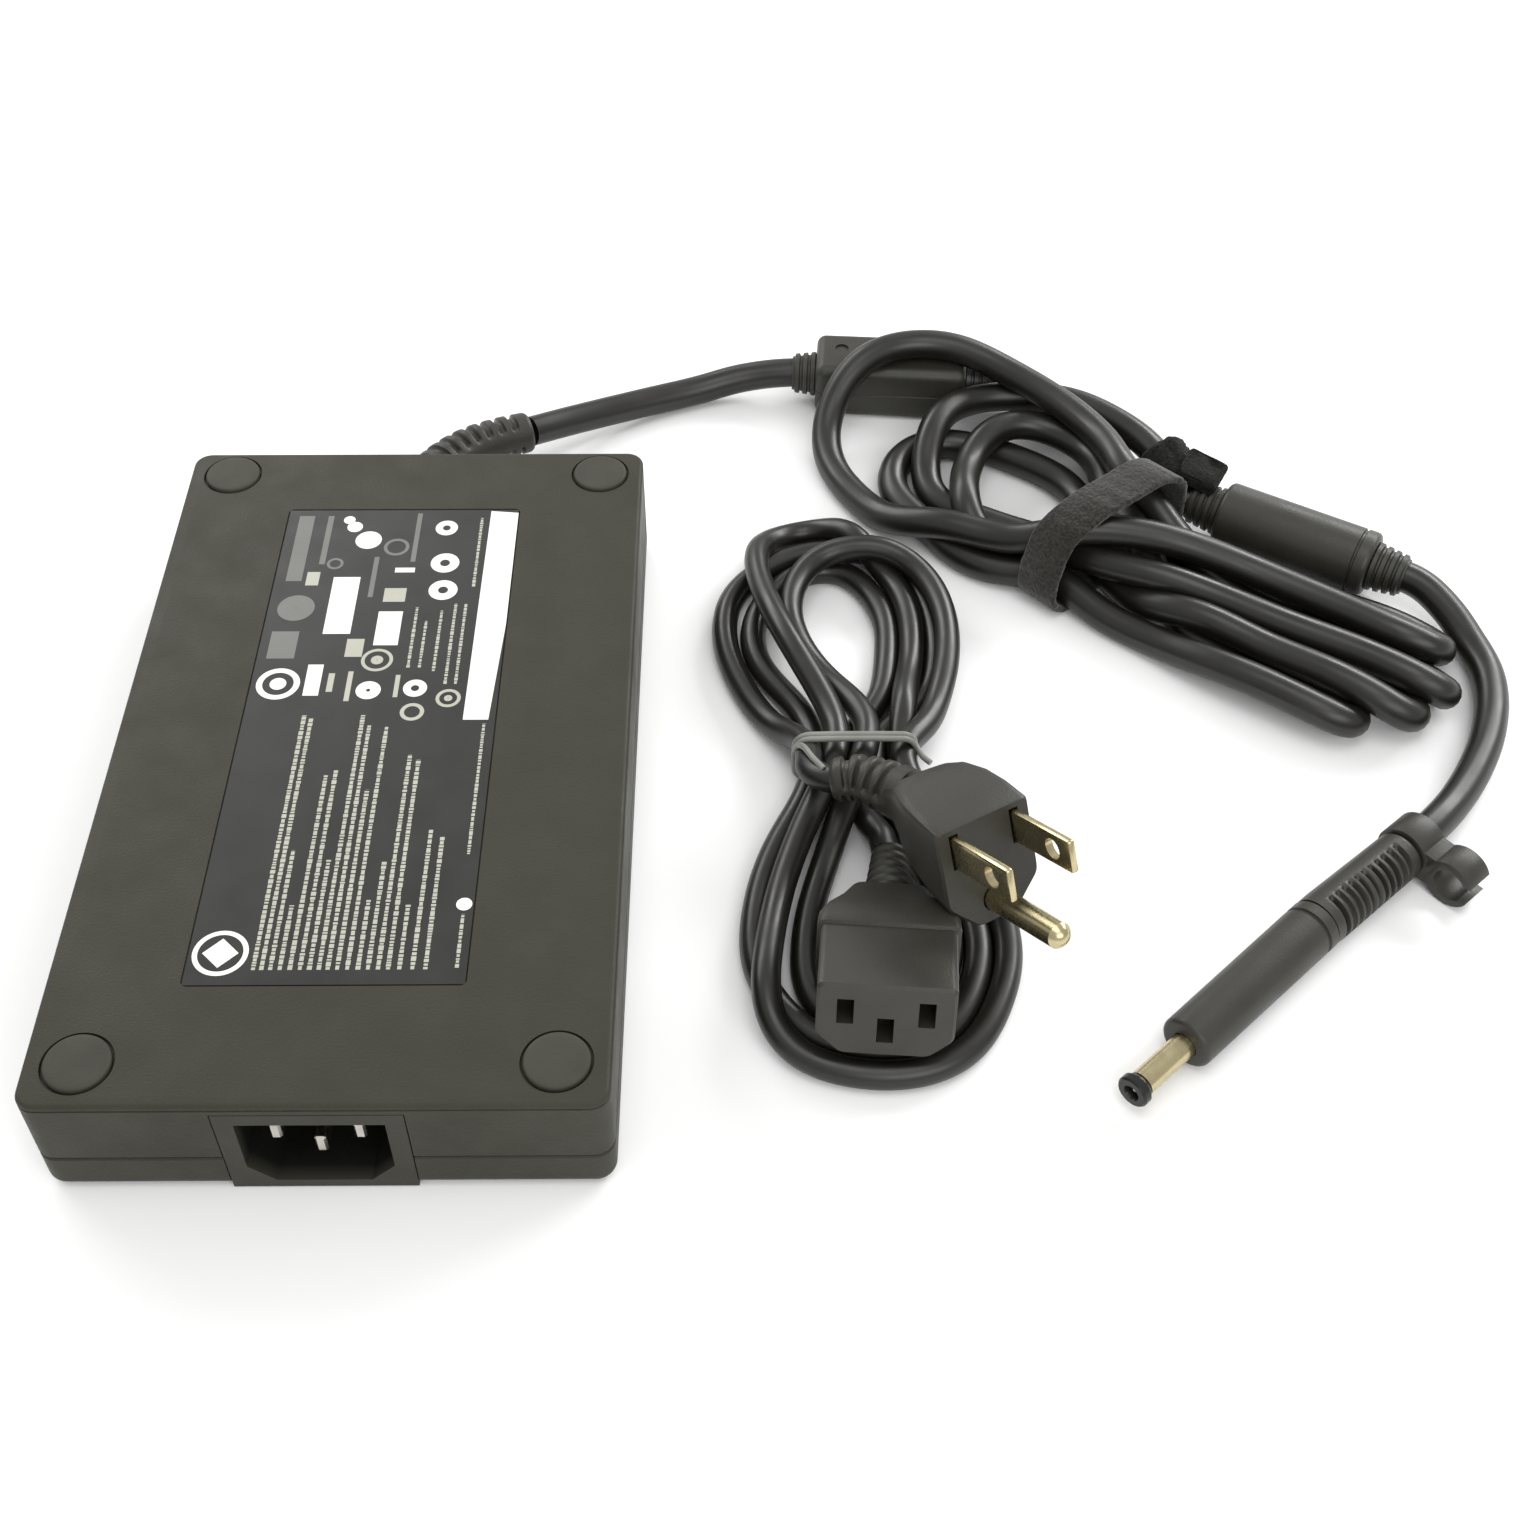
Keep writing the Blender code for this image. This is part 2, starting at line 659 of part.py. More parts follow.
def add_board():
    add_box("main_board", "board", BOARD, BOARD_CENTRE)
    sheet = Vector((BOARD.x + 0.002, BOARD.y + 0.002, 0.0003))
    add_box("insulation_sheet", "insulation", sheet, (0, BOARD_CENTRE.y, 0.0028))
    spreader = Vector((0.0840, 0.1260, SPREADER_THICKNESS))
    add_box("heat_spreader", "aluminium", spreader, (0, BOARD_CENTRE.y, 0.0219))


def add_standing_cylinder(name, finish, radius, height, x, y):
    bm = cylinder(radius, height, 16, edge=0.0006)
    part = add_part(name, finish_mesh(name, bm), finish)
    return place(part, (x, y, PARTS_BASE + height / 2))


def add_lying_cylinder(name, finish, radius, length, x, y):
    bm = cylinder(radius, length, 16, edge=0.0006)
    part = add_part(name, finish_mesh(name, bm), finish)
    return place(part, (x, y, PARTS_BASE + radius), Euler((pi / 2, 0, 0)))


def add_board_box(name, finish, size, x, y, edge=0):
    return add_box(name, finish, size, (x, y, PARTS_BASE + size[2] / 2), upright=edge)


def add_filter_parts():
    add_board_box("x_capacitor", "film_case", (0.018, 0.009, 0.0145), 0.028, -0.051, 0.0008)
    add_lying_cylinder("mains_fuse", "chip_epoxy", 0.0026, 0.014, 0.004, -0.050)
    choke = add_standing_cylinder("common_mode_choke", "copper", 0.0095, 0.0140, -0.028, -0.048)
    hole = add_cutter("choke_hole", finish_mesh("choke_hole", cylinder(0.0035, 0.04, 12)))
    combine(choke, place(hole, choke.location))
    add_board_box("bridge_rectifier", "chip_epoxy", (0.022, 0.0045, 0.0150), -0.018, -0.0300)


def add_power_parts():
    for name, x in (("bulk_capacitor_left", 0.006), ("bulk_capacitor_right", 0.0245)):
        add_lying_cylinder(name, "capacitor_sleeve", 0.0080, 0.032, x, -0.020)
    add_board_box("boost_choke", "winding_tape", (0.024, 0.022, 0.0150), -0.022, -0.012, 0.003)
    core = add_board_box("transformer_core", "ferrite", (0.034, 0.030, 0.0150), -0.004, 0.026)
    window = add_cutter("core_window", finish_mesh("core_window", box((0.027, 0.021, 0.04))))
    combine(core, place(window, core.location))
    add_board_box(
        "transformer_winding", "winding_tape", (0.0262, 0.0202, 0.0140), -0.004, 0.026, 0.004
    )
    add_board_box("primary_heatsink", "aluminium", (0.0025, 0.084, 0.0150), -0.0395, 0.010)
    add_board_box("secondary_heatsink", "aluminium", (0.0025, 0.056, 0.0150), 0.0385, 0.038)


def add_output_parts():
    for number, x in enumerate((-0.016, -0.003, 0.010), start=1):
        name = f"output_capacitor_{number}"
        add_standing_cylinder(name, "capacitor_sleeve", 0.0050, 0.0150, x, 0.058)
    add_standing_cylinder("output_choke", "copper", 0.0070, 0.0130, 0.026, 0.034)


# Low-voltage side

def add_outlet_boot():
    route = [Vector(p) for p in OUTLET_BOOT_ROUTE]
    path = smooth_path(route, 0.0012)
    points, radii = ribbed(path, 0.0056, 0.0046, 0.0009, 9)
    flange = [(-0.0048, 0.0060), (-0.0028, 0.0060), (-0.0026, 0.0038), (0.0003, 0.0038)]
    start = [OUTLET + Vector((0, along, 0)) for along, _ in flange]
    tip = (path[-1] - path[-2]).normalized() * 0.0003
    add_tube(
        "dc_strain_relief", "moulded_rubber",
        [*start, OUTLET + Vector((0, 0.0005, 0)), *points, path[-1] + tip],
        [*(radius for _, radius in flange), 0.0056, *radii, 0.0038],
    )


def add_dc_lead():
    path = smooth_path(DC_LEAD_ROUTE, 0.0130)
    start = Vector(OUTLET_BOOT_ROUTE[-1])
    away = (path[1] - path[0]).normalized()
    path[0] = start + away * (0.0006 + 2 * GAP)
    add_tube("dc_cord_lead", "cord_jacket", path, DC_CORD_RADIUS)


def add_block_ferrite():
    turn = Matrix.Rotation(BLOCK_YAW, 3, "Z")
    cover = add_part(
        "ferrite_block_cover",
        finish_mesh("ferrite_block_cover", box(BLOCK_SIZE, 0.002, 0.002, 0.002)),
        "moulded_rubber",
    )
    place(cover, BLOCK_CENTRE, turn)
    half = BLOCK_SIZE.x / 2
    for end, sign in (("near", -1), ("far", 1)):
        bm = cylinder(0.0052, 0.0060, 16, far_radius=0.0046)
        relief = add_cutter(f"block_relief_{end}", finish_mesh("relief", along_x(bm)))
        offset = turn @ Vector((sign * (half + 0.0025), 0, 0))
        facing = frame_along(turn @ Vector((sign, 0, 0)))
        combine(cover, place(relief, BLOCK_CENTRE + offset, facing), "UNION")
    bore = add_cutter(
        "block_bore", finish_mesh("block_bore", along_x(cylinder(FERRITE_BORE_RADIUS, 0.08, 16)))
    )
    combine(cover, place(bore, BLOCK_CENTRE, turn))
    room = cylinder(BLOCK_CORE_RADIUS + GAP, BLOCK_CORE_LENGTH + 2 * GAP, 16)
    seat = add_cutter("block_core_seat", finish_mesh("block_core_seat", along_x(room)))
    combine(cover, place(seat, BLOCK_CENTRE, turn))
    half = BLOCK_CORE_LENGTH / 2
    inner = FERRITE_BORE_RADIUS + GAP
    ring = [(half, inner), (half, BLOCK_CORE_RADIUS), (-half, BLOCK_CORE_RADIUS), (-half, inner)]
    add_turned("ferrite_block_core", "ferrite", ring, 16, BLOCK_CENTRE, turn, loop=True)


def add_sleeve_ferrite():
    along = SLEEVE_END - SLEEVE_START
    turn = frame_along(along)
    length = along.length
    relief = 0.0075
    outer = [
        (length + relief, 0.0046), (length, 0.0054), (length, SLEEVE_RADIUS - 0.0008),
        (length - 0.0008, SLEEVE_RADIUS), (0.0008, SLEEVE_RADIUS), (0, SLEEVE_RADIUS - 0.0008),
        (0, 0.0054), (-relief, 0.0046),
    ]
    bore = FERRITE_BORE_RADIUS
    seat = SLEEVE_CORE_RADIUS + GAP
    inner = [(-relief, bore), (0.0025, bore), (0.0025, seat), (length - 0.0025, seat),
             (length - 0.0025, bore), (length + relief, bore)]
    add_turned(
        "ferrite_sleeve_cover", "moulded_rubber", outer + inner, 18, SLEEVE_START, turn, loop=True
    )
    near, far = 0.0025 + GAP, length - 0.0025 - GAP
    hole = bore + GAP
    ring = [(far, hole), (far, SLEEVE_CORE_RADIUS), (near, SLEEVE_CORE_RADIUS), (near, hole)]
    add_turned("ferrite_sleeve_core", "ferrite", ring, 18, SLEEVE_START, turn, loop=True)


def add_hank():
    """A solid that holds the wound cord, with the loops that lie over the block ferrite on top."""
    outline = outline_curve("dc_cord_hank", [HANK_OUTLINE], HANK_HEIGHT)
    low = add_part("dc_cord_hank", outline, "cord_jacket")
    low.location = (0, 0, HANK_HEIGHT / 2)
    hank = mesh_from_curve(low)
    thickness = UPPER_LOOP_TOP - UPPER_LOOP_BASE
    outline = outline_curve("upper_loop", [UPPER_LOOP_OUTLINE], thickness)
    loop = add_cutter("hank_upper_loop", outline)
    loop.location = (0, 0, UPPER_LOOP_BASE + thickness / 2)
    combine(hank, mesh_from_curve(loop), "UNION")
    middle = STRAP_CENTRE + Vector((0, 0, STRAP_THICKNESS + STRAP_INNER.y / 2))
    turn = Matrix.Rotation(STRAP_YAW, 3, "Z")
    waist = add_waist_cutter("hank_waist", STRAP_WIDTH, STRAP_INNER, STRAP_CORNER, middle, turn)
    combine(hank, waist)


def add_waist_cutter(name, width, inner, corner, middle, turn):
    """Takes away all that lies outside a band's inner size, over the band's width along local +X."""
    cutter = add_cutter(name, finish_mesh(name, box((width + 4 * GAP, 0.06, 0.06))))
    place(cutter, middle, turn)
    kept = bar(0.08, inner[0] - 2 * GAP, inner[1] - 2 * GAP, corner)
    core = add_cutter(f"{name}_core", finish_mesh(f"{name}_core", kept))
    combine(cutter, place(core, middle, turn))
    return cutter


def add_strap():
    """A band round the hank, with the cinched head of the strap on its far end."""
    turn = Matrix.Rotation(STRAP_YAW, 3, "Z")
    outer_width, outer_height = STRAP_INNER + 2 * Vector((STRAP_THICKNESS, STRAP_THICKNESS))
    centre = STRAP_CENTRE + Vector((0, 0, outer_height / 2))
    bm = bar(STRAP_WIDTH, outer_width, outer_height, STRAP_CORNER + STRAP_THICKNESS)
    strap = add_part("cord_strap", finish_mesh("cord_strap", bm), "strap_fabric")
    place(strap, centre, turn)
    bm = bar(2 * STRAP_WIDTH, STRAP_INNER.x, STRAP_INNER.y, STRAP_CORNER)
    inside = add_cutter("strap_inside", finish_mesh("strap_inside", bm))
    combine(strap, place(inside, centre, turn))
    bm = box(STRAP_HEAD, 0.002, 0.002, 0.002)
    head = add_cutter("strap_head", finish_mesh("strap_head", bm))
    offset = Vector((0, (outer_width + STRAP_HEAD.y) / 2 - GAP, STRAP_HEAD_RISE))
    combine(strap, place(head, centre + turn @ offset, turn), "UNION")


def add_dc_tail():
    add_tube("dc_cord_tail", "cord_jacket", smooth_path(DC_TAIL_ROUTE, 0.0110), DC_CORD_RADIUS)


def add_dc_plug():
    turn = Matrix.Rotation(PLUG_YAW, 3, "Z")
    boot_start = Vector(DC_TAIL_ROUTE[-1]) + (turn @ Vector((1, 0, 0))) * GAP
    boot_end = PLUG_START - turn @ Vector((GAP, 0, 0))
    points, radii = ribbed([boot_start, boot_end], 0.0048, 0.0051, 0.0009, 9)
    add_tube("dc_plug_boot", "moulded_rubber", points, radii)
    length = PLUG_BODY_LENGTH
    radius = PLUG_BODY_RADIUS
    socket = BARREL_RADIUS + GAP
    depth = 0.0060
    body = [(length - depth, 0), (length - depth, socket), (length, socket),
            (length, radius - 0.0008), (length - 0.0008, radius), (0.0040, radius),
            (0.0036, radius - 0.0004), (0.0030, radius - 0.0004), (0.0026, radius), (0, radius),
            (0, 0)]
    add_turned("dc_plug_body", "moulded_rubber", body, 20, PLUG_START, turn)
    bore = 0.0017
    far, near = length + BARREL_REACH, length - depth + GAP
    barrel = [(far - 0.0100, 0), (far - 0.0100, bore), (far, bore), (far, BARREL_RADIUS),
              (near, BARREL_RADIUS), (near, 0)]
    add_turned("dc_plug_barrel", "brass", barrel, 16, PLUG_START, turn)
    near = far + GAP
    far = near + PLUG_TIP_LENGTH
    tip = [(far, 0.0013), (far, PLUG_TIP_RADIUS), (near + 0.0008, PLUG_TIP_RADIUS),
           (near, 0.0026), (near, 0.0013)]
    add_turned("dc_plug_tip", "tip_plastic", tip, 16, PLUG_START, turn, loop=True)
    near = length + BARREL_REACH - 0.0100 + GAP
    pin = [(far - 0.0010, 0), (far - 0.0010, 0.00035), (near, 0.00035), (near, 0)]
    add_turned("dc_plug_centre_pin", "pin_metal", pin, 8, PLUG_START, turn)


def add_cord_clip():
    """A ring that turns on the cord, with an open hook beside it; local +X is the cord's axis."""
    turn = Matrix.Rotation(CLIP_YAW, 3, "Z")
    bm = along_x(cylinder(CLIP_RING_RADIUS, CLIP_WIDTH, 20))
    clip = add_part("cord_clip", finish_mesh("cord_clip", bm), "moulded_rubber")
    place(clip, CLIP_CENTRE, turn)

    def piece(name, bm, offset, operation):
        other = add_cutter(name, finish_mesh(name, bm))
        combine(clip, place(other, CLIP_CENTRE + turn @ Vector(offset), turn), operation)

    reach = CLIP_HOOK_DISTANCE
    hook = cylinder(CLIP_HOOK_RADIUS, CLIP_WIDTH - 0.0001, 20)
    piece("clip_hook", along_x(hook), (0, reach, 0), "UNION")
    web = box((CLIP_WIDTH - 0.0002, reach, 0.0070))
    piece("clip_web", web, (0, reach / 2, 0), "UNION")
    cord_bore = cylinder(DC_CORD_RADIUS + 2 * GAP, 0.02, 16)
    piece("clip_cord_bore", along_x(cord_bore), (0, 0, 0), "DIFFERENCE")
    hook_bore = cylinder(CLIP_HOOK_BORE, 0.02, 16)
    piece("clip_hook_bore", along_x(hook_bore), (0, reach + 0.0004, 0), "DIFFERENCE")
    mouth = box((0.02, 0.008, CLIP_MOUTH))
    piece("clip_mouth", mouth, (0, reach + 0.0045, 0), "DIFFERENCE")


# Mains lead

def shield_outline(width, top, bottom, chamfer, along=0):
    """Eight points round a section with its two lower corners cut off, seen along +X."""
    half = width / 2
    nick = min(0.0015, chamfer / 2)
    return [Vector((along, y, z)) for y, z in (
        (half - nick, top), (half, top - nick), (half, bottom + chamfer), (half - chamfer, bottom),
        (chamfer - half, bottom), (-half, bottom + chamfer), (-half, top - nick), (nick - half, top),
    )]


def add_connector():
    turn = Matrix.Rotation(CONNECTOR_YAW, 3, "Z") @ Matrix.Rotation(-CONNECTOR_PITCH, 3, "Y")
    half = CONNECTOR_HEIGHT / 2
    nose = shield_outline(CONNECTOR_WIDTH, half, -half, 0.0042)
    sections = [
        (0, nose), (-0.0155, nose),
        (-0.0160, shield_outline(0.0254, half + 0.0008, -half, 0.0042)),
        (-0.0185, shield_outline(0.0254, half + 0.0008, -half, 0.0042)),
        (-CONNECTOR_LENGTH, shield_outline(0.0140, 0.0055, -0.0055, 0.0035)),
    ]
    rings = [[point + Vector((along, 0, 0)) for point in ring] for along, ring in sections]
    mesh = finish_mesh("mains_connector_body", loft(rings), radians(20))
    body = place(add_part("mains_connector_body", mesh, "moulded_rubber"), CONNECTOR_FACE, turn)
    bm = along_x(cylinder(0.0034, 0.0170, 12, far_radius=0.0050))
    boot = add_cutter("connector_boot", finish_mesh("connector_boot", bm))
    reach = CONNECTOR_LENGTH + 0.0075
    combine(body, place(boot, CONNECTOR_FACE + turn @ Vector((-reach, 0, 0)), turn), "UNION")
    places = {
        "line": (PIN_SPACING / 2, PIN_OFFSET / 2),
        "neutral": (-PIN_SPACING / 2, PIN_OFFSET / 2),
        "earth": (0, -PIN_OFFSET / 2),
    }
    for name, (y, z) in places.items():
        bm = box((2 * CONTACT_DEPTH, CONTACT_SLOT.x, CONTACT_SLOT.y))
        slot = add_cutter(f"connector_{name}_slot", finish_mesh("slot", bm))
        combine(body, place(slot, CONNECTOR_FACE + turn @ Vector((0, y, z)), turn))
        node = f"mains_connector_{name}_contact"
        size = (CONTACT_LENGTH, CONTACT_SLOT.x - 2 * GAP, CONTACT_SLOT.y - 2 * GAP)
        contact = add_part(node, finish_mesh(node, box(size)), "brass")
        back = GAP + CONTACT_LENGTH / 2 - CONTACT_DEPTH
        place(contact, CONNECTOR_FACE + turn @ Vector((back, y, z)), turn)


def add_wall_plug():
    turn = frame_along(WALL_PLUG_OUT, WALL_PLUG_UP)
    sections = [
        (0, shield_outline(0.0196, 0.0048, -0.0165, 0.0058)),
        (-0.0060, shield_outline(0.0196, 0.0060, -0.0150, 0.0058)),
        (-0.0150, shield_outline(0.0172, 0.0073, -0.0100, 0.0045)),
        (-0.0210, shield_outline(0.0125, 0.0055, -0.0072, 0.0035)),
        (-WALL_PLUG_LENGTH, shield_outline(0.0096, 0.0030, -0.0060, 0.0030)),
    ]
    rings = [[point + Vector((along, 0, 0)) for point in ring] for along, ring in sections]
    mesh = finish_mesh("wall_plug_body", loft(rings), radians(20))
    body = place(add_part("wall_plug_body", mesh, "moulded_rubber"), WALL_PLUG_FACE, turn)
    path = smooth_path(WALL_PLUG_NECK_ROUTE, 0.003)
    radii = [0.0050 - 0.0010 * i / (len(path) - 1) for i in range(len(path))]
    neck = add_cutter("wall_plug_neck", tube_curve("wall_plug_neck", path, radii))
    combine(body, mesh_from_curve(neck), "UNION")
    for name, side in (("line", 1), ("neutral", -1)):
        add_blade(body, f"wall_plug_{name}_blade", turn, side * BLADE_SPACING / 2)
    centre = WALL_PLUG_FACE + turn @ Vector((0, 0, -EARTH_DROP))
    bm = along_x(cylinder(EARTH_RADIUS + GAP, 2 * BLADE_SEAT, 16))
    seat = add_cutter("earth_seat", finish_mesh("earth_seat", bm))
    combine(body, place(seat, centre, turn))
    near = GAP - BLADE_SEAT
    pin = [(EARTH_LENGTH, 0), (EARTH_LENGTH, 0.0010), (EARTH_LENGTH - 0.0014, EARTH_RADIUS),
           (near, EARTH_RADIUS), (near, 0)]
    add_turned("wall_plug_earth_pin", "brass", pin, 16, centre, turn)


def add_blade(body, name, turn, side):
    root = WALL_PLUG_FACE + turn @ Vector((0, side, 0))
    room = BLADE + Vector((0, 2 * GAP, 2 * GAP))
    room.x = 2 * BLADE_SEAT
    seat = add_cutter(f"{name}_seat", finish_mesh("blade_seat", box(room)))
    combine(body, place(seat, root, turn))
    length = BLADE.x + BLADE_SEAT - GAP
    bm = box((length, BLADE.y, BLADE.z))
    tip = [e for e in edges_at(bm, 0, length / 2)
           if abs((e.verts[0].co - e.verts[1].co).y) > 1e-6]
    round_edges(bm, tip, 0.0018, 2)
    blade = add_part(name, finish_mesh(name, bm), "brass")
    middle = BLADE.x - length / 2
    place(blade, root + turn @ Vector((middle, 0, 0)), turn)
    bm = cylinder(BLADE_HOLE_RADIUS, 0.01, 12)
    hole = add_cutter(f"{name}_hole", finish_mesh("blade_hole", bm))
    lie = turn @ Matrix.Rotation(pi / 2, 3, "X")
    combine(blade, place(hole, root + turn @ Vector((BLADE_HOLE_REACH, 0, 0)), lie))


def add_mains_coils():
    upper = outline_curve("mains_cord_upper_loops", [UPPER_COIL_OUTLINE], UPPER_COIL_HEIGHT, True)
    loops = add_part("mains_cord_upper_loops", upper, "cord_jacket")
    loops.location.z = UPPER_COIL_HEIGHT / 2
    turn = Matrix.Rotation(pi / 2, 3, "Z")
    corner = TIE_CORNER - TIE_WIRE_RADIUS
    waist = add_waist_cutter("coil_waist", 2 * TIE_WIRE_RADIUS, TIE_INNER, corner, TIE_CENTRE, turn)
    combine(mesh_from_curve(loops), waist)
    outlines = [LOWER_COIL_OUTLINE, LOWER_COIL_HOLE]
    lower = outline_curve("mains_cord_lower_loops", outlines, LOWER_COIL_HEIGHT, True)
    add_part("mains_cord_lower_loops", lower, "cord_jacket").location.z = LOWER_COIL_HEIGHT / 2


def add_tie():
    """A wire tie round the neck of the upper loops: four straight runs joined by round corners."""
    half_width = TIE_INNER.x / 2 + TIE_WIRE_RADIUS
    half_height = TIE_INNER.y / 2 + TIE_WIRE_RADIUS
    points = []
    for quarter in range(4):
        across, up = ((1, 1), (-1, 1), (-1, -1), (1, -1))[quarter]
        corner = Vector((across * (half_width - TIE_CORNER), 0, up * (half_height - TIE_CORNER)))
        for step in range(5):
            angle = (quarter + step / 4) * pi / 2
            points.append(TIE_CENTRE + corner + TIE_CORNER * Vector((cos(angle), 0, sin(angle))))
    tie = add_tube("twist_tie", "tie_wire", points, TIE_WIRE_RADIUS)
    tie.data.splines[0].use_cyclic_u = True


def add_mains_lead():
    add_connector()
    add_wall_plug()
    add_mains_coils()
    add_tie()
    root, end = (Vector(point) for point in WALL_PLUG_NECK_ROUTE[-2:])
    away = (end - root).normalized()
    coil_end = Vector((0.0850, UPPER_COIL_OUTLINE[0][1] - 0.0009, 0.0100))
    route = [end + away * 0.0008, end + away * 0.0026, coil_end - Vector((0, 0.0030, -0.0010)), coil_end]
    add_tube("mains_cord_plug_run", "cord_jacket", smooth_path(route, 0.002), MAINS_CORD_RADIUS)


clear_scene()
PARTS = new_collection("laptop_power_adapter")
CUTTERS = new_collection("cutters")
add_case()
add_inlet()
add_board()
add_filter_parts()
add_power_parts()
add_output_parts()
add_outlet_boot()
add_dc_lead()
add_block_ferrite()
add_sleeve_ferrite()
add_hank()
add_strap()
add_dc_tail()
add_dc_plug()
add_cord_clip()
add_mains_lead()
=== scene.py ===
"""Looks of the laptop power adapter: case, label, cords, ferrites, strap, plugs, light and camera.

The frame has +Y from the mains inlet to the low-voltage cord, +X to the right and +Z up.
Sizes are in metres. Routes, as (x, y, z), and the label's printing are in millimetres.
"""

import json
import random
from math import cos, pi, radians, sin

import bmesh
import bpy
import numpy as np
from mathutils import Matrix, Vector


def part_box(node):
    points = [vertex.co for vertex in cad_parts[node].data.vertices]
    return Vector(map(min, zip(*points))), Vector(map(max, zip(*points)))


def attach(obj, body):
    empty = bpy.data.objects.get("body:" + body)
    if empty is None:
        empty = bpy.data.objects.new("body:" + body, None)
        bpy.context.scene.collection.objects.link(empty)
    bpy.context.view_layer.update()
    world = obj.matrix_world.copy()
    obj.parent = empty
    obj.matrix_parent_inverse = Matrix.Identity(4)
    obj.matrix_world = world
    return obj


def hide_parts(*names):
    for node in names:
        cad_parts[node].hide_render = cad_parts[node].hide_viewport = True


MM = 0.001
SMOOTH = radians(34)

# Camera
CAMERA_PLACE = (0.070594, -0.259588, 0.299248)
CAMERA_AZIMUTH = radians(-0.43)
CAMERA_ELEVATION = radians(47.47)
CAMERA_ROLL = radians(0.08)
CAMERA_LENS = 47.69

# Case
CASE = Vector((0.096, 0.165, 0.0246))
SEAM_HEIGHT = 0.0092
SEAM_GAP = 0.00018
WALL = 0.0022
CORNER = 0.0035
TOP_EDGE = 0.0009
BOTTOM_EDGE = 0.0030
RIM_LINE_HEIGHT = 0.0234
RIM_LINE_SIZE = 0.0005
FOOT_PLACES = [(x, y) for x in (-0.0390, 0.0390) for y in (-0.0740, 0.0752)]
FOOT_RADIUS = 0.0056
FOOT_HEIGHT = 0.00155
FOOT_RECESS = Vector((0.0061, 0.0009))
LABEL = Vector((0.0476, 0.1220, 0.00025))
LABEL_CENTRE = Vector((-0.0012, 0.0026, 0))
LABEL_RECESS = 0.0004
PANEL = Vector((0.0312, 0.0030, 0.0216))
PANEL_BOTTOM = 0.0004
INLET_X = -0.0010
INLET_BODY = Vector((0.0276, 0.0180, 0.0200))
INLET_BODY_MIDDLE = 0.0114
# How deep into the inlet's cavity the painted shade takes to reach its darkest
CAVITY_SHADE_DEPTH = 0.003
OUTLET = Vector((-0.0020, 0.0825, 0.0104))
OUTLET_HOLE_RADIUS = 0.0042

# Low-voltage cord, its ferrites, plug and clip
DC_DIAMETER = 0.0068
BLOCK = Vector((0.0355, 0.0155, 0.0136))
BLOCK_CENTRE = Vector((0.1045, 0.1326, 0.0069))
BLOCK_YAW = radians(-4)
SLEEVE_START = Vector((0.1755, 0.0821, 0.0074))
SLEEVE_END = Vector((0.2051, 0.0644, 0.0074))
SLEEVE_RADIUS = 0.0071
STRAP_ORIGIN = Vector((0.1532, 0.0690, 0))
STRAP_YAW = radians(-45)
STRAP_TURN = Matrix.Rotation(STRAP_YAW, 3, "Z")
STRAP_WIDTH = 0.0100
STRAP_THICKNESS = 0.0015
PLUG_START = Vector((0.1750, -0.0315, 0.0054))
PLUG_YAW = radians(223.2)
PLUG_LENGTH = 0.0390
PLUG_RADIUS = 0.0052
BARREL_RADIUS = 0.0024
BARREL_REACH = 0.0118
BOOT_START = Vector((0.1943, -0.0149, 0.0054))
CLIP_CENTRE = Vector((0.1968, -0.0127, 0.0054))
CLIP_YAW = radians(221)
CLIP_WIDTH = 0.0064

# Mains lead
MAINS_DIAMETER = 0.0054
CONNECTOR_FACE = Vector((0.0936, -0.0604, 0.0157))
CONNECTOR_YAW = radians(-94.5)
CONNECTOR_PITCH = radians(11)
CONNECTOR = Vector((0.0310, 0.0240, 0.0162))
CONNECTOR_SLOTS = [(0.0070, 0.0020), (-0.0070, 0.0020), (0, -0.0020)]
SLOT = Vector((0.0160, 0.0029, 0.0056))
WALL_PLUG_FACE = Vector((0.1117, -0.0326, 0.0313))
WALL_PLUG_OUT = Vector((0.469, -0.780, 0.413))
WALL_PLUG_UP = Vector((-0.193, 0.366, 0.910))
WALL_PLUG_LENGTH = 0.0260
BLADE = Vector((0.0170, 0.0015, 0.00635))
BLADE_SPACING = 0.0127
BLADE_HOLE = Vector((0.0119, 0.0020))
BLADE_SEAT = 0.0030
EARTH_PIN = Vector((0.0205, 0.0024))
EARTH_DROP = 0.0119
TIE_CENTRE = Vector((0.0912, 0.0085, 0.0075))
TIE_INNER = Vector((0.0224, 0.0110))
TIE_RADIUS = 0.0006

# Cord routes
OUTLET_BOOT_ROUTE = [
    (-2.0, 83.5, 10.4), (-1.2, 89.0, 10.4), (2.0, 95.5, 10.3), (7.5, 102.0, 9.9), (14.0, 106.5, 9.4),
    (20.0, 109.5, 8.9),
]
LEAD = [
    (20.5, 109.8, 8.8), (28, 115.5, 7), (37, 121.3, 5.4), (47, 126.8, 4.2), (58, 131.5, 3.8),
    (69, 134.2, 5.4), (80, 134.3, 6.9), (95, 133.3, 6.9), (127, 131, 6.9),
]
TAIL = [
    (168.2, 86.3, 7.4), (175.5, 82.1, 7.4), (190, 73.4, 7.4), (205.1, 64.4, 7.4), (214, 59, 7.1),
    (218.8, 52.2, 5.8), (222, 44, 4.2), (223.6, 36, 3.6), (222.6, 27, 3.5), (219.6, 18, 3.5),
    (214.6, 8.5, 3.7), (208, -1, 4.3), (201.8, -8, 5.2), (196.8, -12.7, 5.4), (194.3, -14.9, 5.4),
]
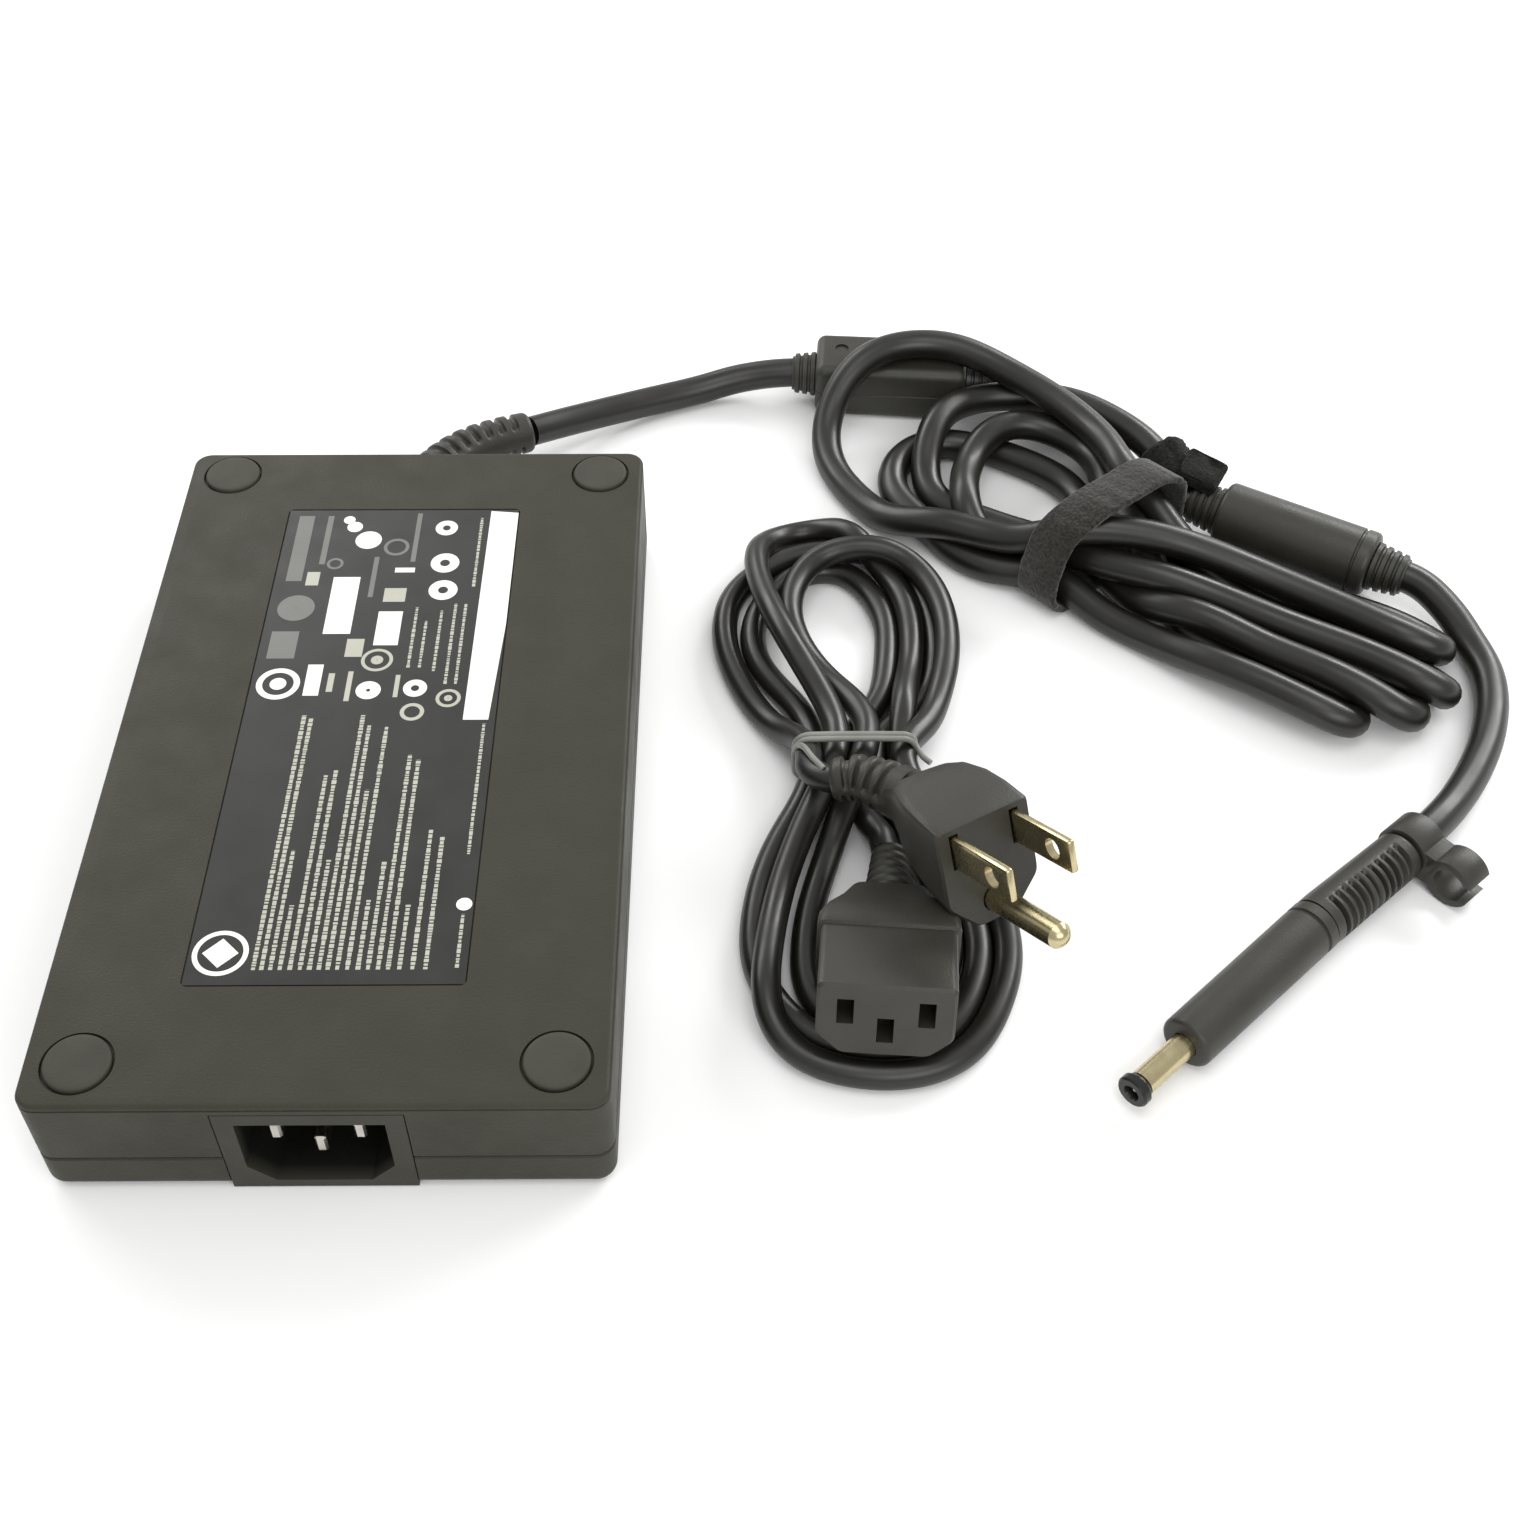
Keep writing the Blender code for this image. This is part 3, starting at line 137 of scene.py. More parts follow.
MAINS_ROUTE = [
    # From the connector through the tie
    (96.2, -15.4, 6.7), (95.4, -9, 5.4), (92.4, -1.5, 4.8), (89, 8.5, 4.8), (91.8, 15, 3.8),
    # First upper loop, down its left side
    (98, 25.4, 2.9), (100.7, 37.1, 2.7), (101.9, 48.2, 2.7), (100.1, 59.7, 2.7), (94.4, 67.1, 2.7),
    (86.6, 68.8, 2.7), (79.1, 64.9, 2.7), (73.6, 58, 2.7), (71, 49.9, 2.7), (72, 40.2, 2.7),
    (76.5, 32, 2.7), (82.5, 24.4, 3.2), (83.2, 12.5, 4.8), (83, 4.5, 4.8),
    # First lower loop
    (78.4, -3.7, 3), (75, -12.3, 2.7), (72.6, -21.6, 2.7), (71.6, -32.2, 2.7), (72.6, -42.9, 2.7),
    (76.9, -51.5, 2.7), (85.5, -55.8, 2.7), (95.1, -57.2, 2.7), (104.1, -55.3, 2.7),
    (110.2, -49.1, 2.7), (112.8, -39.8, 2.7), (112.7, -29.4, 2.7), (110.7, -19.4, 2.7),
    (106.8, -9.2, 2.7), (102.9, 1, 3.4), (99.4, 7.5, 4.8),
    # Second upper loop, crossing over the others
    (102.5, 25.8, 3.6), (104.2, 34.8, 5), (104.8, 45.7, 6), (103.6, 55.7, 6.4), (100.5, 65.8, 6.2),
    (95, 73.3, 5), (88.6, 80.2, 3.4), (80.9, 81.7, 3.6), (74.4, 76, 6), (72.3, 64.5, 9.5),
    (74.5, 51, 12.6), (78.5, 39.1, 13.6), (82.8, 29.5, 12.4), (87, 20.2, 11), (88.8, 12.5, 10.2),
    (86.4, 3.5, 9.8),
    # Second lower loop, the outermost
    (82.5, -4.2, 9.4), (79.1, -12.8, 8.3), (76.1, -21.6, 8.1), (74, -31.1, 8.1), (73.2, -40, 7.8),
    (74.4, -48.5, 5.8), (78.4, -54.9, 3.2), (85.9, -59.9, 2.7), (94.9, -61.6, 2.7),
    (103.4, -59.7, 2.7), (110, -54.3, 2.7), (114.4, -45.9, 3.4), (116.4, -37, 4.4), (116.1, -28, 6),
    (113.4, -18.9, 7.2), (108.3, -9.7, 8), (104.3, -2.7, 9), (99.6, 7.5, 10.2),
    # Third upper loop, the largest
    (105.5, 19.5, 8.1), (109.5, 30.8, 8.1), (111.1, 42.6, 8.1), (110.2, 54.5, 8.1),
    (106.1, 64.3, 8.1), (99.5, 70.1, 8.1), (91.7, 71.2, 8.1), (84.2, 67.1, 8.3), (80, 58.7, 9),
    (79, 49.5, 9.4), (81.3, 40.5, 8.8), (85.9, 33, 8.1), (90.9, 25.5, 8.1), (95.2, 17.9, 9),
    (93.8, 12.5, 10.2), (90.6, 3.5, 9.2),
    # Third lower loop, inside the others
    (87.9, -4.8, 6.6), (85.5, -12.5, 4.4), (82.8, -21.4, 2.7), (80.6, -31.6, 2.7),
    (81, -41.4, 2.7), (84.8, -48.7, 2.7), (91.1, -52.2, 2.7), (98.2, -52.3, 2.7),
    (104.2, -49.1, 2.7), (107.9, -42.5, 2.7), (108.5, -34.1, 2.7), (106.9, -24.7, 2.7),
    (104, -14.2, 2.7), (100.2, -2.7, 3.2), (94, 6.5, 4.8), (94.3, 14.5, 4.8),
    # Fourth upper loop and on to the wall plug
    (105.8, 28.2, 2.9), (108.8, 40.6, 2.7), (109.3, 54.3, 2.7), (105.2, 65.4, 2.7),
    (98.3, 72.6, 2.7), (90.3, 75.3, 2.7), (81.8, 73.4, 2.7), (73.9, 69.9, 2.9), (68.2, 63.5, 2.9),
    (65.4, 54.6, 2.7), (65.7, 43.3, 2.7), (69.5, 31.9, 2.9), (75.1, 20.9, 5.4), (82.8, 10.5, 10.2),
    (81.6, 3.6, 12.2), (83, -1.6, 14.2), (86.6, -4.5, 15.6), (89, -4.9, 16.2),
]

# The wall plug's bent neck, and the ends of the tie's wire
NECK = [(99.9, -11.7, 18.9), (95.5, -8, 17.9), (91, -5.2, 16.8), (86.4, -4.7, 15.6)]
TIE_NEAR_END = [(84.6, -3.6, 17.6), (82.5, -0.2, 17.2), (81, 3.6, 16), (79.8, 6.2, 13.6)]
TIE_FAR_END = [(103.6, 8, 10.2), (104.4, 6, 10.4), (105.8, 4.6, 10.2)]

# The strap: its band from STRAP_ORIGIN along and across the cords, its rolled end and its tab
STRAP_ROLL = [(163.4, 98.6, 10.4), (165.8, 92.9, 9.6), (168.4, 87.4, 8.8)]
STRAP_TAB = [(167, 90.8, 14.4), (175, 86.4, 12.6)]
STRAP_LOOP = [
    (-8, -21.2, 10), (-7.4, -22, 5), (-7, -18.5, 1.1), (-6.8, -8, 0.95), (-6, 4, 0.95),
    (-5, 13, 1.2), (-4.2, 16.6, 5), (-3.6, 16.8, 12), (-3.6, 15.4, 18.2), (-4.4, 10.5, 21.2),
    (-5.6, 1, 21.4), (-7.2, -8.5, 20.4), (-8.4, -16.6, 16.8), (-8, -21.2, 10),
]

# The label's printing: (x, top) of lines of text, (x, bottom, top) of those beside the marks,
# (x, y, outer, inner, shade) of rings and discs, and (x, y, width, length, shade) of tiles
LABEL_STRIP = [(16.9, 63.2), (22.6, 62.6), (22.6, 29), (21.3, 3), (16.5, 3)]
LABEL_DIAMOND = (-19.6, -51.7)
LABEL_TEXT_BOTTOM = -55.3
LABEL_TEXT_COLUMNS = [
    (-13.5, 4.3), (-12.1, 3.6), (-10.6, -28.9), (-9, -41.4), (-7.3, -11), (-5.6, -9.7), (-4, -31.2),
    (-2.4, 4.3), (-0.9, 1.7), (0.7, -14.6), (2.4, 1.2), (4.2, -40.3), (5.9, -31.7), (7.6, -5.9),
    (9.3, -7.2), (11.2, -41.4), (13.4, -24.3), (15.6, -26),
]
LABEL_SIDE_COLUMNS = [
    (20.6, -30, 2), (20.9, -55, -43.5), (4.6, 17, 34), (6.8, 17, 30), (9.6, 16, 33), (12.2, 12.5, 35),
    (14.2, 12.5, 35), (15.2, 40, 61),
]
LABEL_RINGS = [
    (-19.6, -51.7, 4.8, 3.9, 0), (20.9, -41.3, 1.4, 0.1, 0), (-19.8, 12.7, 4.2, 3.0, 0),
    (-19.8, 12.7, 1.6, 0.1, 0), (-19.5, 33.9, 3.7, 0.1, 1), (-2.3, 10.9, 2.4, 0.4, 0),
    (-1.6, 19.1, 3.1, 2.4, 2), (-1.6, 19.1, 1.2, 0.1, 2), (6.6, 11.4, 2.3, 0.8, 0),
    (13.2, 8.7, 2.4, 1.7, 2), (13.2, 8.7, 0.8, 0.1, 2), (6.7, 5.1, 2.3, 1.5, 2),
    (8.8, 47.1, 2.9, 1, 0), (9.2, 39, 2.9, 1, 0), (8.1, 57.9, 2.3, 0.8, 0),
    (-10.9, 58.3, 1.6, 0.1, 0), (-7.6, 54.2, 2.7, 0.1, 0), (-12.3, 60.5, 1.2, 0.1, 0),
    (-1.6, 52, 2.6, 1.9, 1), (-13.5, 47, 1.7, 1.1, 1),
]
LABEL_TILES = [
    (-10.5, 34.7, 5.4, 16.5, 0), (-0.5, 28, 4.8, 9.6, 0), (-20.5, 23.4, 5.4, 7.6, 1),
    (-21.2, 51.8, 3.2, 20, 1), (-16.2, 54.3, 1.2, 15, 1), (-5.2, 43, 1, 12, 1), (2.2, 55, 1, 15, 1),
    (-13.2, 13.7, 3, 8.4, 0), (-9.8, 13, 1.2, 5, 2), (-6.2, 12, 1, 8, 2), (0.9, 45, 4, 1.4, 0),
    (-0.3, 37.6, 4.4, 4, 2), (3, 12, 0.9, 6, 2), (-17.4, 42.5, 2.6, 4, 2), (-6.4, 22.5, 3.4, 5, 2),
]

# Colours, as linear red, green and blue
CASE_COLOUR = (0.033, 0.032, 0.022)
FOOT_COLOUR = (0.042, 0.041, 0.031)
LABEL_COLOUR = (0.023, 0.024, 0.022)
INLET_COLOUR = (0.034, 0.033, 0.024)
# Painted shade deep inside the inlet's cavity
CAVITY_SHADE_COLOUR = (0.004, 0.004, 0.003)
CORD_COLOUR = (0.007, 0.0065, 0.0045)
MOULDED_COLOUR = (0.026, 0.025, 0.019)
TIP_COLOUR = (0.012, 0.012, 0.011)
TIE_COLOUR = (0.22, 0.22, 0.20)
STRAP_COLOUR = (0.016, 0.015, 0.012)
HOOK_COLOUR = (0.006, 0.006, 0.005)
PIN_COLOUR = (0.72, 0.69, 0.62)
BRASS_COLOUR = (0.54, 0.47, 0.28)
PRINT_COLOUR = (0.80, 0.80, 0.76)
PANEL_PRINT_COLOUR = (0.16, 0.16, 0.15)
TEXT_PRINT_COLOUR = (0.42, 0.42, 0.35)
WORLD_LIGHT = 0.66

# How the cords settle: shares of each bend and of the way home, and the fall at each step.
# The rooms are half the width inside the strap and the tie, and their lowest and highest inside.
STIFFNESS = 0.35
HOLD = 0.02
WEIGHT = 0.05
STRAP_MIDDLE = (-7, -2.5, 0)
STRAP_ROOM = (16.9, 1.65, 20.75)
TIE_ROOM = (11.2, 2, 13)


# Mesh helpers

def new_piece(name, data, finish, node):
    """Adds a piece that rides with a CAD node."""
    piece = bpy.data.objects.new(name, data)
    bpy.context.scene.collection.objects.link(piece)
    data.materials.append(material(finish))
    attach(piece, body_of[node])
    return piece


def mesh_from(name, bm):
    bmesh.ops.remove_doubles(bm, verts=bm.verts, dist=1e-7)
    bmesh.ops.recalc_face_normals(bm, faces=bm.faces)
    mesh = bpy.data.meshes.new(name)
    bm.to_mesh(mesh)
    bm.free()
    return mesh


def soften(mesh, angle):
    mesh.shade_smooth()
    mesh.set_sharp_from_angle(angle=angle)
    return mesh


def put(mesh, turn, place):
    mesh.transform(Matrix.Translation(place) @ (turn or Matrix.Identity(3)).to_4x4())
    return mesh


def add_solid(name, bm, finish, node, turn=None, place=(0, 0, 0), angle=SMOOTH):
    """Adds a solid that stands for a CAD node."""
    mesh = soften(mesh_from(name, bm), angle)
    piece = new_piece(name, put(mesh, turn, place), finish, node)
    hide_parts(node)
    return piece


def keep_modifier(piece, angle=SMOOTH):
    """Makes what the piece's modifier does part of its mesh."""
    graph = bpy.context.evaluated_depsgraph_get()
    done = bpy.data.meshes.new_from_object(piece.evaluated_get(graph))
    piece.modifiers.clear()
    old, piece.data = piece.data, done
    bpy.data.meshes.remove(old)
    soften(done, angle)


def cut(piece, bm, turn=None, place=(0, 0, 0), operation="DIFFERENCE", angle=SMOOTH):
    """Cuts a shape out of the piece, or joins it on."""
    other = bpy.data.objects.new("cutter", put(mesh_from("cutter", bm), turn, place))
    bpy.context.scene.collection.objects.link(other)
    modifier = piece.modifiers.new("cut", "BOOLEAN")
    modifier.operation = operation
    modifier.object = other
    keep_modifier(piece, angle)
    bpy.data.objects.remove(other)


def round_off(piece, width):
    """Rounds the sharp edges of a finished piece."""
    modifier = piece.modifiers.new("edge", "BEVEL")
    modifier.width = width
    modifier.segments = 2
    modifier.limit_method = "ANGLE"
    modifier.angle_limit = radians(40)
    keep_modifier(piece)


def loft(rings, endless=False):
    """Skins rings of the same number of points, and caps both ends or joins them."""
    bm = bmesh.new()
    made = [[bm.verts.new(point) for point in ring] for ring in rings]
    count = len(made[0])
    for near, far in zip(made, made[1:] + made[:1] if endless else made[1:]):
        for i in range(count):
            j = (i + 1) % count
            bm.faces.new((near[i], near[j], far[j], far[i]))
    if not endless:
        bm.faces.new(made[0][::-1])
        bm.faces.new(made[-1])
    return bm


def rounded_rectangle(width, height, corner, steps=6):
    """Points round a rectangle with rounded corners, as (across, up) pairs."""
    points = []
    for quarter, (across, up) in enumerate(((1, 1), (-1, 1), (-1, -1), (1, -1))):
        for step in range(steps + 1):
            angle = (quarter + step / steps) * pi / 2
            points.append((
                across * (width / 2 - corner) + corner * cos(angle),
                up * (height / 2 - corner) + corner * sin(angle),
            ))
    return points


def rounded_box(size, corner, edge, steps=5, reshape=list):
    """A block along X with rounded corners and ends. reshape can change its outline."""
    rings = []
    for end in (-1, 1):
        for step in range(steps + 1)[::end]:
            angle = step / steps * pi / 2
            inset = edge * (1 - cos(angle))
            along = end * (size.x / 2 - edge + edge * sin(angle))
            outline = rounded_rectangle(size.y - 2 * inset, size.z - 2 * inset, corner - inset)
            rings.append([Vector((along, y, z)) for y, z in reshape(outline)])
    return loft(rings)


def block(size):
    bm = bmesh.new()
    bmesh.ops.create_cube(bm, size=1, matrix=Matrix.Diagonal((*size, 1)))
    return bm


def rod(radius, length, sides=40, axis="X"):
    """A plain cylinder for cutting, along the named axis."""
    bm = bmesh.new()
    bmesh.ops.create_cone(
        bm, cap_ends=True, segments=sides, radius1=radius, radius2=radius, depth=length
    )
    if axis == "X":
        bmesh.ops.rotate(bm, verts=bm.verts, matrix=Matrix.Rotation(pi / 2, 3, "Y"))
    return bm


def turned(profile, sides=48):
    """A solid of revolution about X from (along, radius) pairs that start and end on the axis."""
    bm = bmesh.new()
    ring = []
    for along, radius in profile:
        if radius < 1e-7:
            ring.append([bm.verts.new((along, 0, 0))])
        else:
            angles = (2 * pi * i / sides for i in range(sides))
            ring.append([bm.verts.new((along, radius * cos(a), radius * sin(a))) for a in angles])
    for near, far in zip(ring, ring[1:]):
        for i in range(sides):
            j = (i + 1) % sides
            corners = [near[i % len(near)], near[j % len(near)], far[j % len(far)], far[i % len(far)]]
            unique = list(dict.fromkeys(corners))
            if len(unique) > 2:
                bm.faces.new(unique)
    return bm


def arc(centre, radius, start, end, steps=5):
    """Points on part of a circle in a profile, from start to end in degrees."""
    return [
        (centre[0] + radius * cos(radians(start + (end - start) * i / steps)),
         centre[1] + radius * sin(radians(start + (end - start) * i / steps)))
        for i in range(steps + 1)
    ]


def frame_along(direction, up=(0, 0, 1)):
    """A rotation whose X follows direction and whose Z is as near to up as it can be."""
    x = Vector(direction).normalized()
    y = Vector(up).cross(x).normalized()
    return Matrix((x, y, x.cross(y))).transposed()


def swept(path, sides, radius_at):
    """A tube along a path. radius_at takes a point's number and the angle round it."""
    rings = []
    side = None
    for i, point in enumerate(path):
        ahead = (path[min(i + 1, len(path) - 1)] - path[max(i - 1, 0)]).normalized()
        if side is None:
            side = ahead.orthogonal().normalized() if abs(ahead.z) > 0.9 else Vector((0, 0, 1))
        side = (side - ahead * side.dot(ahead)).normalized()
        other = ahead.cross(side)
        angles = [2 * pi * k / sides for k in range(sides)]
        rings.append([
            point + (side * cos(a) + other * sin(a)) * radius_at(i, a) for a in angles
        ])
    return loft(rings)


# Cord helpers: a cord is laid along its route, then settles under its weight and stiffness

def smooth_line(route, fine):
    """A centripetal spline through the route's points, with fine steps between each two."""
    points = np.asarray(route, float)
    points = np.vstack([2 * points[0] - points[1], points, 2 * points[-1] - points[-2]])
    knots = np.r_[0, np.cumsum(np.sqrt(np.linalg.norm(np.diff(points, axis=0), axis=1)))]
    line = []
    for i in range(1, len(points) - 2):
        p0, p1, p2, p3 = points[i - 1:i + 3]
        t0, t1, t2, t3 = knots[i - 1:i + 3]
        t = np.linspace(t1, t2, fine, endpoint=False)[:, None]
        a1 = ((t1 - t) * p0 + (t - t0) * p1) / (t1 - t0)
        a2 = ((t2 - t) * p1 + (t - t1) * p2) / (t2 - t1)
        a3 = ((t3 - t) * p2 + (t - t2) * p3) / (t3 - t2)
        b1 = ((t2 - t) * a1 + (t - t0) * a2) / (t2 - t0)
        b2 = ((t3 - t) * a2 + (t - t1) * a3) / (t3 - t1)
        line.append(((t2 - t) * b1 + (t - t1) * b2) / (t2 - t1))
    return np.vstack([*line, points[-2][None]])


def even_steps(line, step):
    along = np.r_[0, np.cumsum(np.linalg.norm(np.diff(line, axis=0), axis=1))]
    marks = np.linspace(0, along[-1], int(round(along[-1] / step)) + 1)
    return np.stack([np.interp(marks, along, line[:, k]) for k in range(3)], 1)


def length_of(line):
    return float(np.linalg.norm(np.diff(line, axis=0), axis=1).sum())


def settle(line, diameter, free, obstacles, steps=300):
    """Bends the line like a cord with weight, keeps its length, and keeps its turns apart."""
    home, line = line, line.copy()
    segment = length_of(line) / (len(line) - 1)
    number = np.arange(len(line))
    # Points this many steps from each other along the cord must not touch
    apart = int(np.ceil(2.2 * diameter / segment))
    other_turn = np.triu(np.abs(number[:, None] - number[None, :]) >= apart)
    move = free[:, None].astype(float)
    for step in range(steps):
        # Which pairs of points are near each other changes slowly
        if step % 8 == 0:
            gaps = ((line[:, None, :] - line[None, :, :]) ** 2).sum(-1)
            first, second = np.nonzero(other_turn & (gaps < (1.6 * diameter) ** 2))
        bend = np.zeros_like(line)
        bend[1:-1] = (line[:-2] + line[2:]) / 2 - line[1:-1]
        spread = np.zeros_like(line)
        spread[1:-1] = (bend[:-2] + bend[2:]) / 2 - bend[1:-1]
        line -= move * STIFFNESS * spread
        line += move * HOLD * (home - line)
        line[:, 2] -= move[:, 0] * WEIGHT
        for _ in range(3):
            push_apart(line, move, first, second, diameter)
            edge = np.diff(line, axis=0)
            length = np.linalg.norm(edge, axis=1)
            pull = edge * (0.4 * (length - segment) / length)[:, None]
            shift = np.zeros_like(line)
            shift[:-1] += pull
            shift[1:] -= pull
            line += move * shift
            for obstacle in obstacles:
                obstacle(line, free)
            line[free, 2] = np.maximum(line[free, 2], diameter / 2)
    return line


def even_out(line, free, rounds=6):
    """Takes small kinks out of a settled line without moving its fixed parts."""
    line = line.copy()
    for _ in range(rounds):
        middle = (line[:-2] + 2 * line[1:-1] + line[2:]) / 4
        line[1:-1] = np.where(free[1:-1, None], middle, line[1:-1])
    return line


def push_apart(line, move, first, second, diameter):
    between = line[first] - line[second]
    gap = np.linalg.norm(between, axis=1) + 1e-9
    close = gap < diameter
    push = (between * (0.5 * (diameter - gap) / gap)[:, None])[close]
    shift = np.zeros_like(line)
    hits = np.zeros(len(line))
    for points, sign in ((first[close], 1), (second[close], -1)):
        np.add.at(shift, points, sign * push)
        np.add.at(hits, points, 1)
    line += move * 0.8 * shift / np.sqrt(np.maximum(hits, 1))[:, None]


def block_obstacle(centre, turn, half, reach):
    """Keeps a line at least reach from a block: centre and half sizes in millimetres."""
    centre, turn = np.array(centre), np.array(turn)

    def keep_off(line, free):
        inside = (line - centre) @ turn
        away = inside - np.clip(inside, -half, half)
        gap = np.linalg.norm(away, axis=1)
        near = free & (gap < reach) & (gap > 1e-6)
        away[near] *= ((reach - gap[near]) / gap[near])[:, None]
        away[~near] = 0
        line += away @ turn.T

    return keep_off


def band_obstacle(centre, turn, room, radius, reach):
    """Keeps a cord inside a band: reach is how far along local X the band acts."""
    centre, turn = np.array(centre), np.array(turn)
    half_width, low, high = room[0] - radius, room[1] + radius, room[2] - radius

    def keep_in(line, free):
        inside = (line - centre) @ turn
        near = free & (np.abs(inside[:, 0]) < reach) & (np.abs(inside[:, 1]) < half_width + 9)
        near &= inside[:, 2] < high + 3.7
        inside[near, 1] = np.clip(inside[near, 1], -half_width, half_width)
        inside[near, 2] = np.clip(inside[near, 2], low, high)
        line[near] = inside[near] @ turn.T + centre

    return keep_in


def add_cord(name, line, diameter, finish, *nodes):
    """A round cord along a line in millimetres, as a curve of one spline."""
    curve = bpy.data.curves.new(name, "CURVE")
    curve.dimensions = "3D"
    curve.bevel_depth = diameter / 2
    curve.bevel_resolution = 6
    curve.use_fill_caps = True
    fine = smooth_line(line, 3) * MM
    spline = curve.splines.new("POLY")
    spline.points.add(len(fine) - 1)
    for point, place in zip(spline.points, fine):
        point.co = (*place, 1)
    piece = new_piece(name, curve, finish, nodes[0])
    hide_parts(*nodes)
    return piece


def beside_strap(*rows):
    """Turns (along the cords, across them, height) from the strap's origin into (x, y, z)."""
    return [tuple(STRAP_ORIGIN / MM + STRAP_TURN @ Vector(row)) for row in rows]


def hank_route():
    """The wound part of the low-voltage cord, from the block ferrite to the sleeve ferrite."""
    return [
        # Under the strap along the bottom of the hank
        (133, 129.8, 6.6), (140, 126.4, 5.6), (147, 119, 4.6), (152.8, 109, 4), (156.5, 98, 4),
        *beside_strap(
            (-12, 14, 4.4), (-4, 11, 4.8), (6, 11, 4.4),
            # First fold
            (18, 13.5, 3.6), (30, 17.5, 3.5), (42, 22.5, 3.5), (52, 25.2, 3.5), (59.5, 25.6, 4),
            (64.3, 23.9, 5.6), (66, 20.8, 8.4), (64.3, 17.6, 11.3), (59.5, 16, 12.8),
            # Top run, over everything
            (50, 15.6, 12.6), (38, 13.8, 12.4), (26, 10.6, 13.2), (14, 5.4, 15.4), (5, 0.6, 16.8),
            (-4, -5.8, 17), (-11, -12, 15.2),
        ),
        (133.2, 67.2, 12.9), (125.3, 72.4, 10.2), (115, 77.4, 8.2), (104.5, 83.4, 5.4),
        # Largest loop, over the block ferrite
        (96, 91, 4), (90.6, 99.5, 4.6), (88.2, 108.5, 6.4), (88.8, 117.5, 10.4), (94.6, 126, 15.6),
        (101.5, 130.2, 17.4), (109, 132.4, 17.6), (117, 131.4, 17.5), (125, 128.1, 17),
        (133, 122.2, 16.8), (140.5, 114.4, 16.8), (147.5, 103.8, 16.8), (153, 94.3, 16.8),
        # Back through the strap
        *beside_strap(
            (-9, 11.2, 16.4), (-1, 10.6, 13.6), (8, 7, 9.8),
            # Second fold
            (20, 5.6, 6), (32, 9, 3.8), (45, 13.4, 3.5), (57, 15.4, 3.5), (67, 15.6, 4),
            (71.8, 14.2, 5.4), (73.6, 11.6, 8.2), (71.8, 9, 11), (67, 8, 12.4),
            # Second run
            (58, 7.2, 12.4), (47, 4.6, 12), (36, 1.8, 11.6), (24, -1.2, 11.4), (12, -4.4, 11.3),
            (0, -8.8, 11.4), (-9, -12.3, 10.2),
        ),
        (135.2, 65.2, 9), (130.5, 67.6, 6.8),
        # Third loop
        (124.8, 73.2, 4), (120.6, 80, 3.6), (118.6, 87.5, 4.4), (118.8, 95, 6.8),
        (121.2, 102.6, 9.4), (126.5, 109, 10.8), (132.5, 112.4, 11.4), (139, 111.6, 11.4),
        (145.5, 106, 11.2), (151.5, 97.5, 11),
        # Through the strap
        *beside_strap(
            (-9, 7, 10), (0, 4, 10), (9, -1, 8.6),
            # Third fold
            (17, -6.5, 5.8), (26, -9.8, 3.8), (36, -10.4, 3.5), (46, -7.6, 3.5), (53, -4, 3.5),
            (58.5, -2.4, 4), (62.6, -3.4, 5.2), (64.4, -6.2, 7.4), (62.4, -9.4, 9.6),
            (58, -10.8, 10.3),
            # Third run
            (50, -12, 10), (40, -12.8, 9.4), (28, -13.6, 7.6), (16, -15, 5.4), (6, -16, 4.4),
            (-2, -16, 4.4), (-9, -14.4, 4.6),
        ),
        (132, 62.8, 4.2), (125.6, 67.4, 3.6),
        # Loop on the table
        (117, 72.7, 3.5), (109.5, 79, 3.5), (104, 87, 3.5), (102.6, 95.5, 3.5), (104, 103.5, 3.5),
        (109, 110, 3.5), (117, 112.2, 3.5), (127, 108.5, 4.2), (136.5, 102.6, 5.2),
        (145.5, 95.2, 5.4),
        # Through the strap
        *beside_strap(
            (-9, 3.4, 5.3), (0, 2.6, 5), (9, 2, 4.2),
            # Fourth fold
            (20, 1.6, 3.5), (32, 3.2, 3.5), (45, 6, 3.5), (56, 7.4, 3.5), (66, 7.2, 4),
            (70.6, 5.8, 5), (72.6, 2.8, 7.2), (70.6, -0.4, 9.6), (66, -1.8, 10.4),
            # Fourth run
            (58, -2.8, 10.2), (47, -5, 10), (36, -6, 9.4), (24, -6.4, 8), (12, -5.8, 6.4),
            (3, -5.4, 5.4), (-8, -5.4, 5.3),
        ),
        (141, 74.2, 4.8), (132, 77, 4),
        # Second loop, up to the sleeve ferrite
        (122, 80.5, 3.5), (114.6, 86.6, 3.8), (111.4, 94.4, 5.2), (110.9, 103, 7.2),
        (112.6, 111.6, 9.6), (117.6, 118.4, 11.4), (124.4, 122.4, 11.6), (132, 123.4, 10.8),
        (140.5, 121.8, 10.8), (149, 117, 11.4), (156.5, 109.6, 12.4), (162.4, 101.6, 12.6),
        (166.2, 94, 10.8),
    ]


# Cords

def lay_cord(name, line, diameter, free, obstacles, *nodes):
    """Settles a cord along a line in millimetres, and returns it with its length in metres."""
    line = even_out(settle(line, diameter / MM, free, obstacles), free)
    return add_cord(name, line, diameter, "cord_jacket", *nodes), length_of(line) * MM


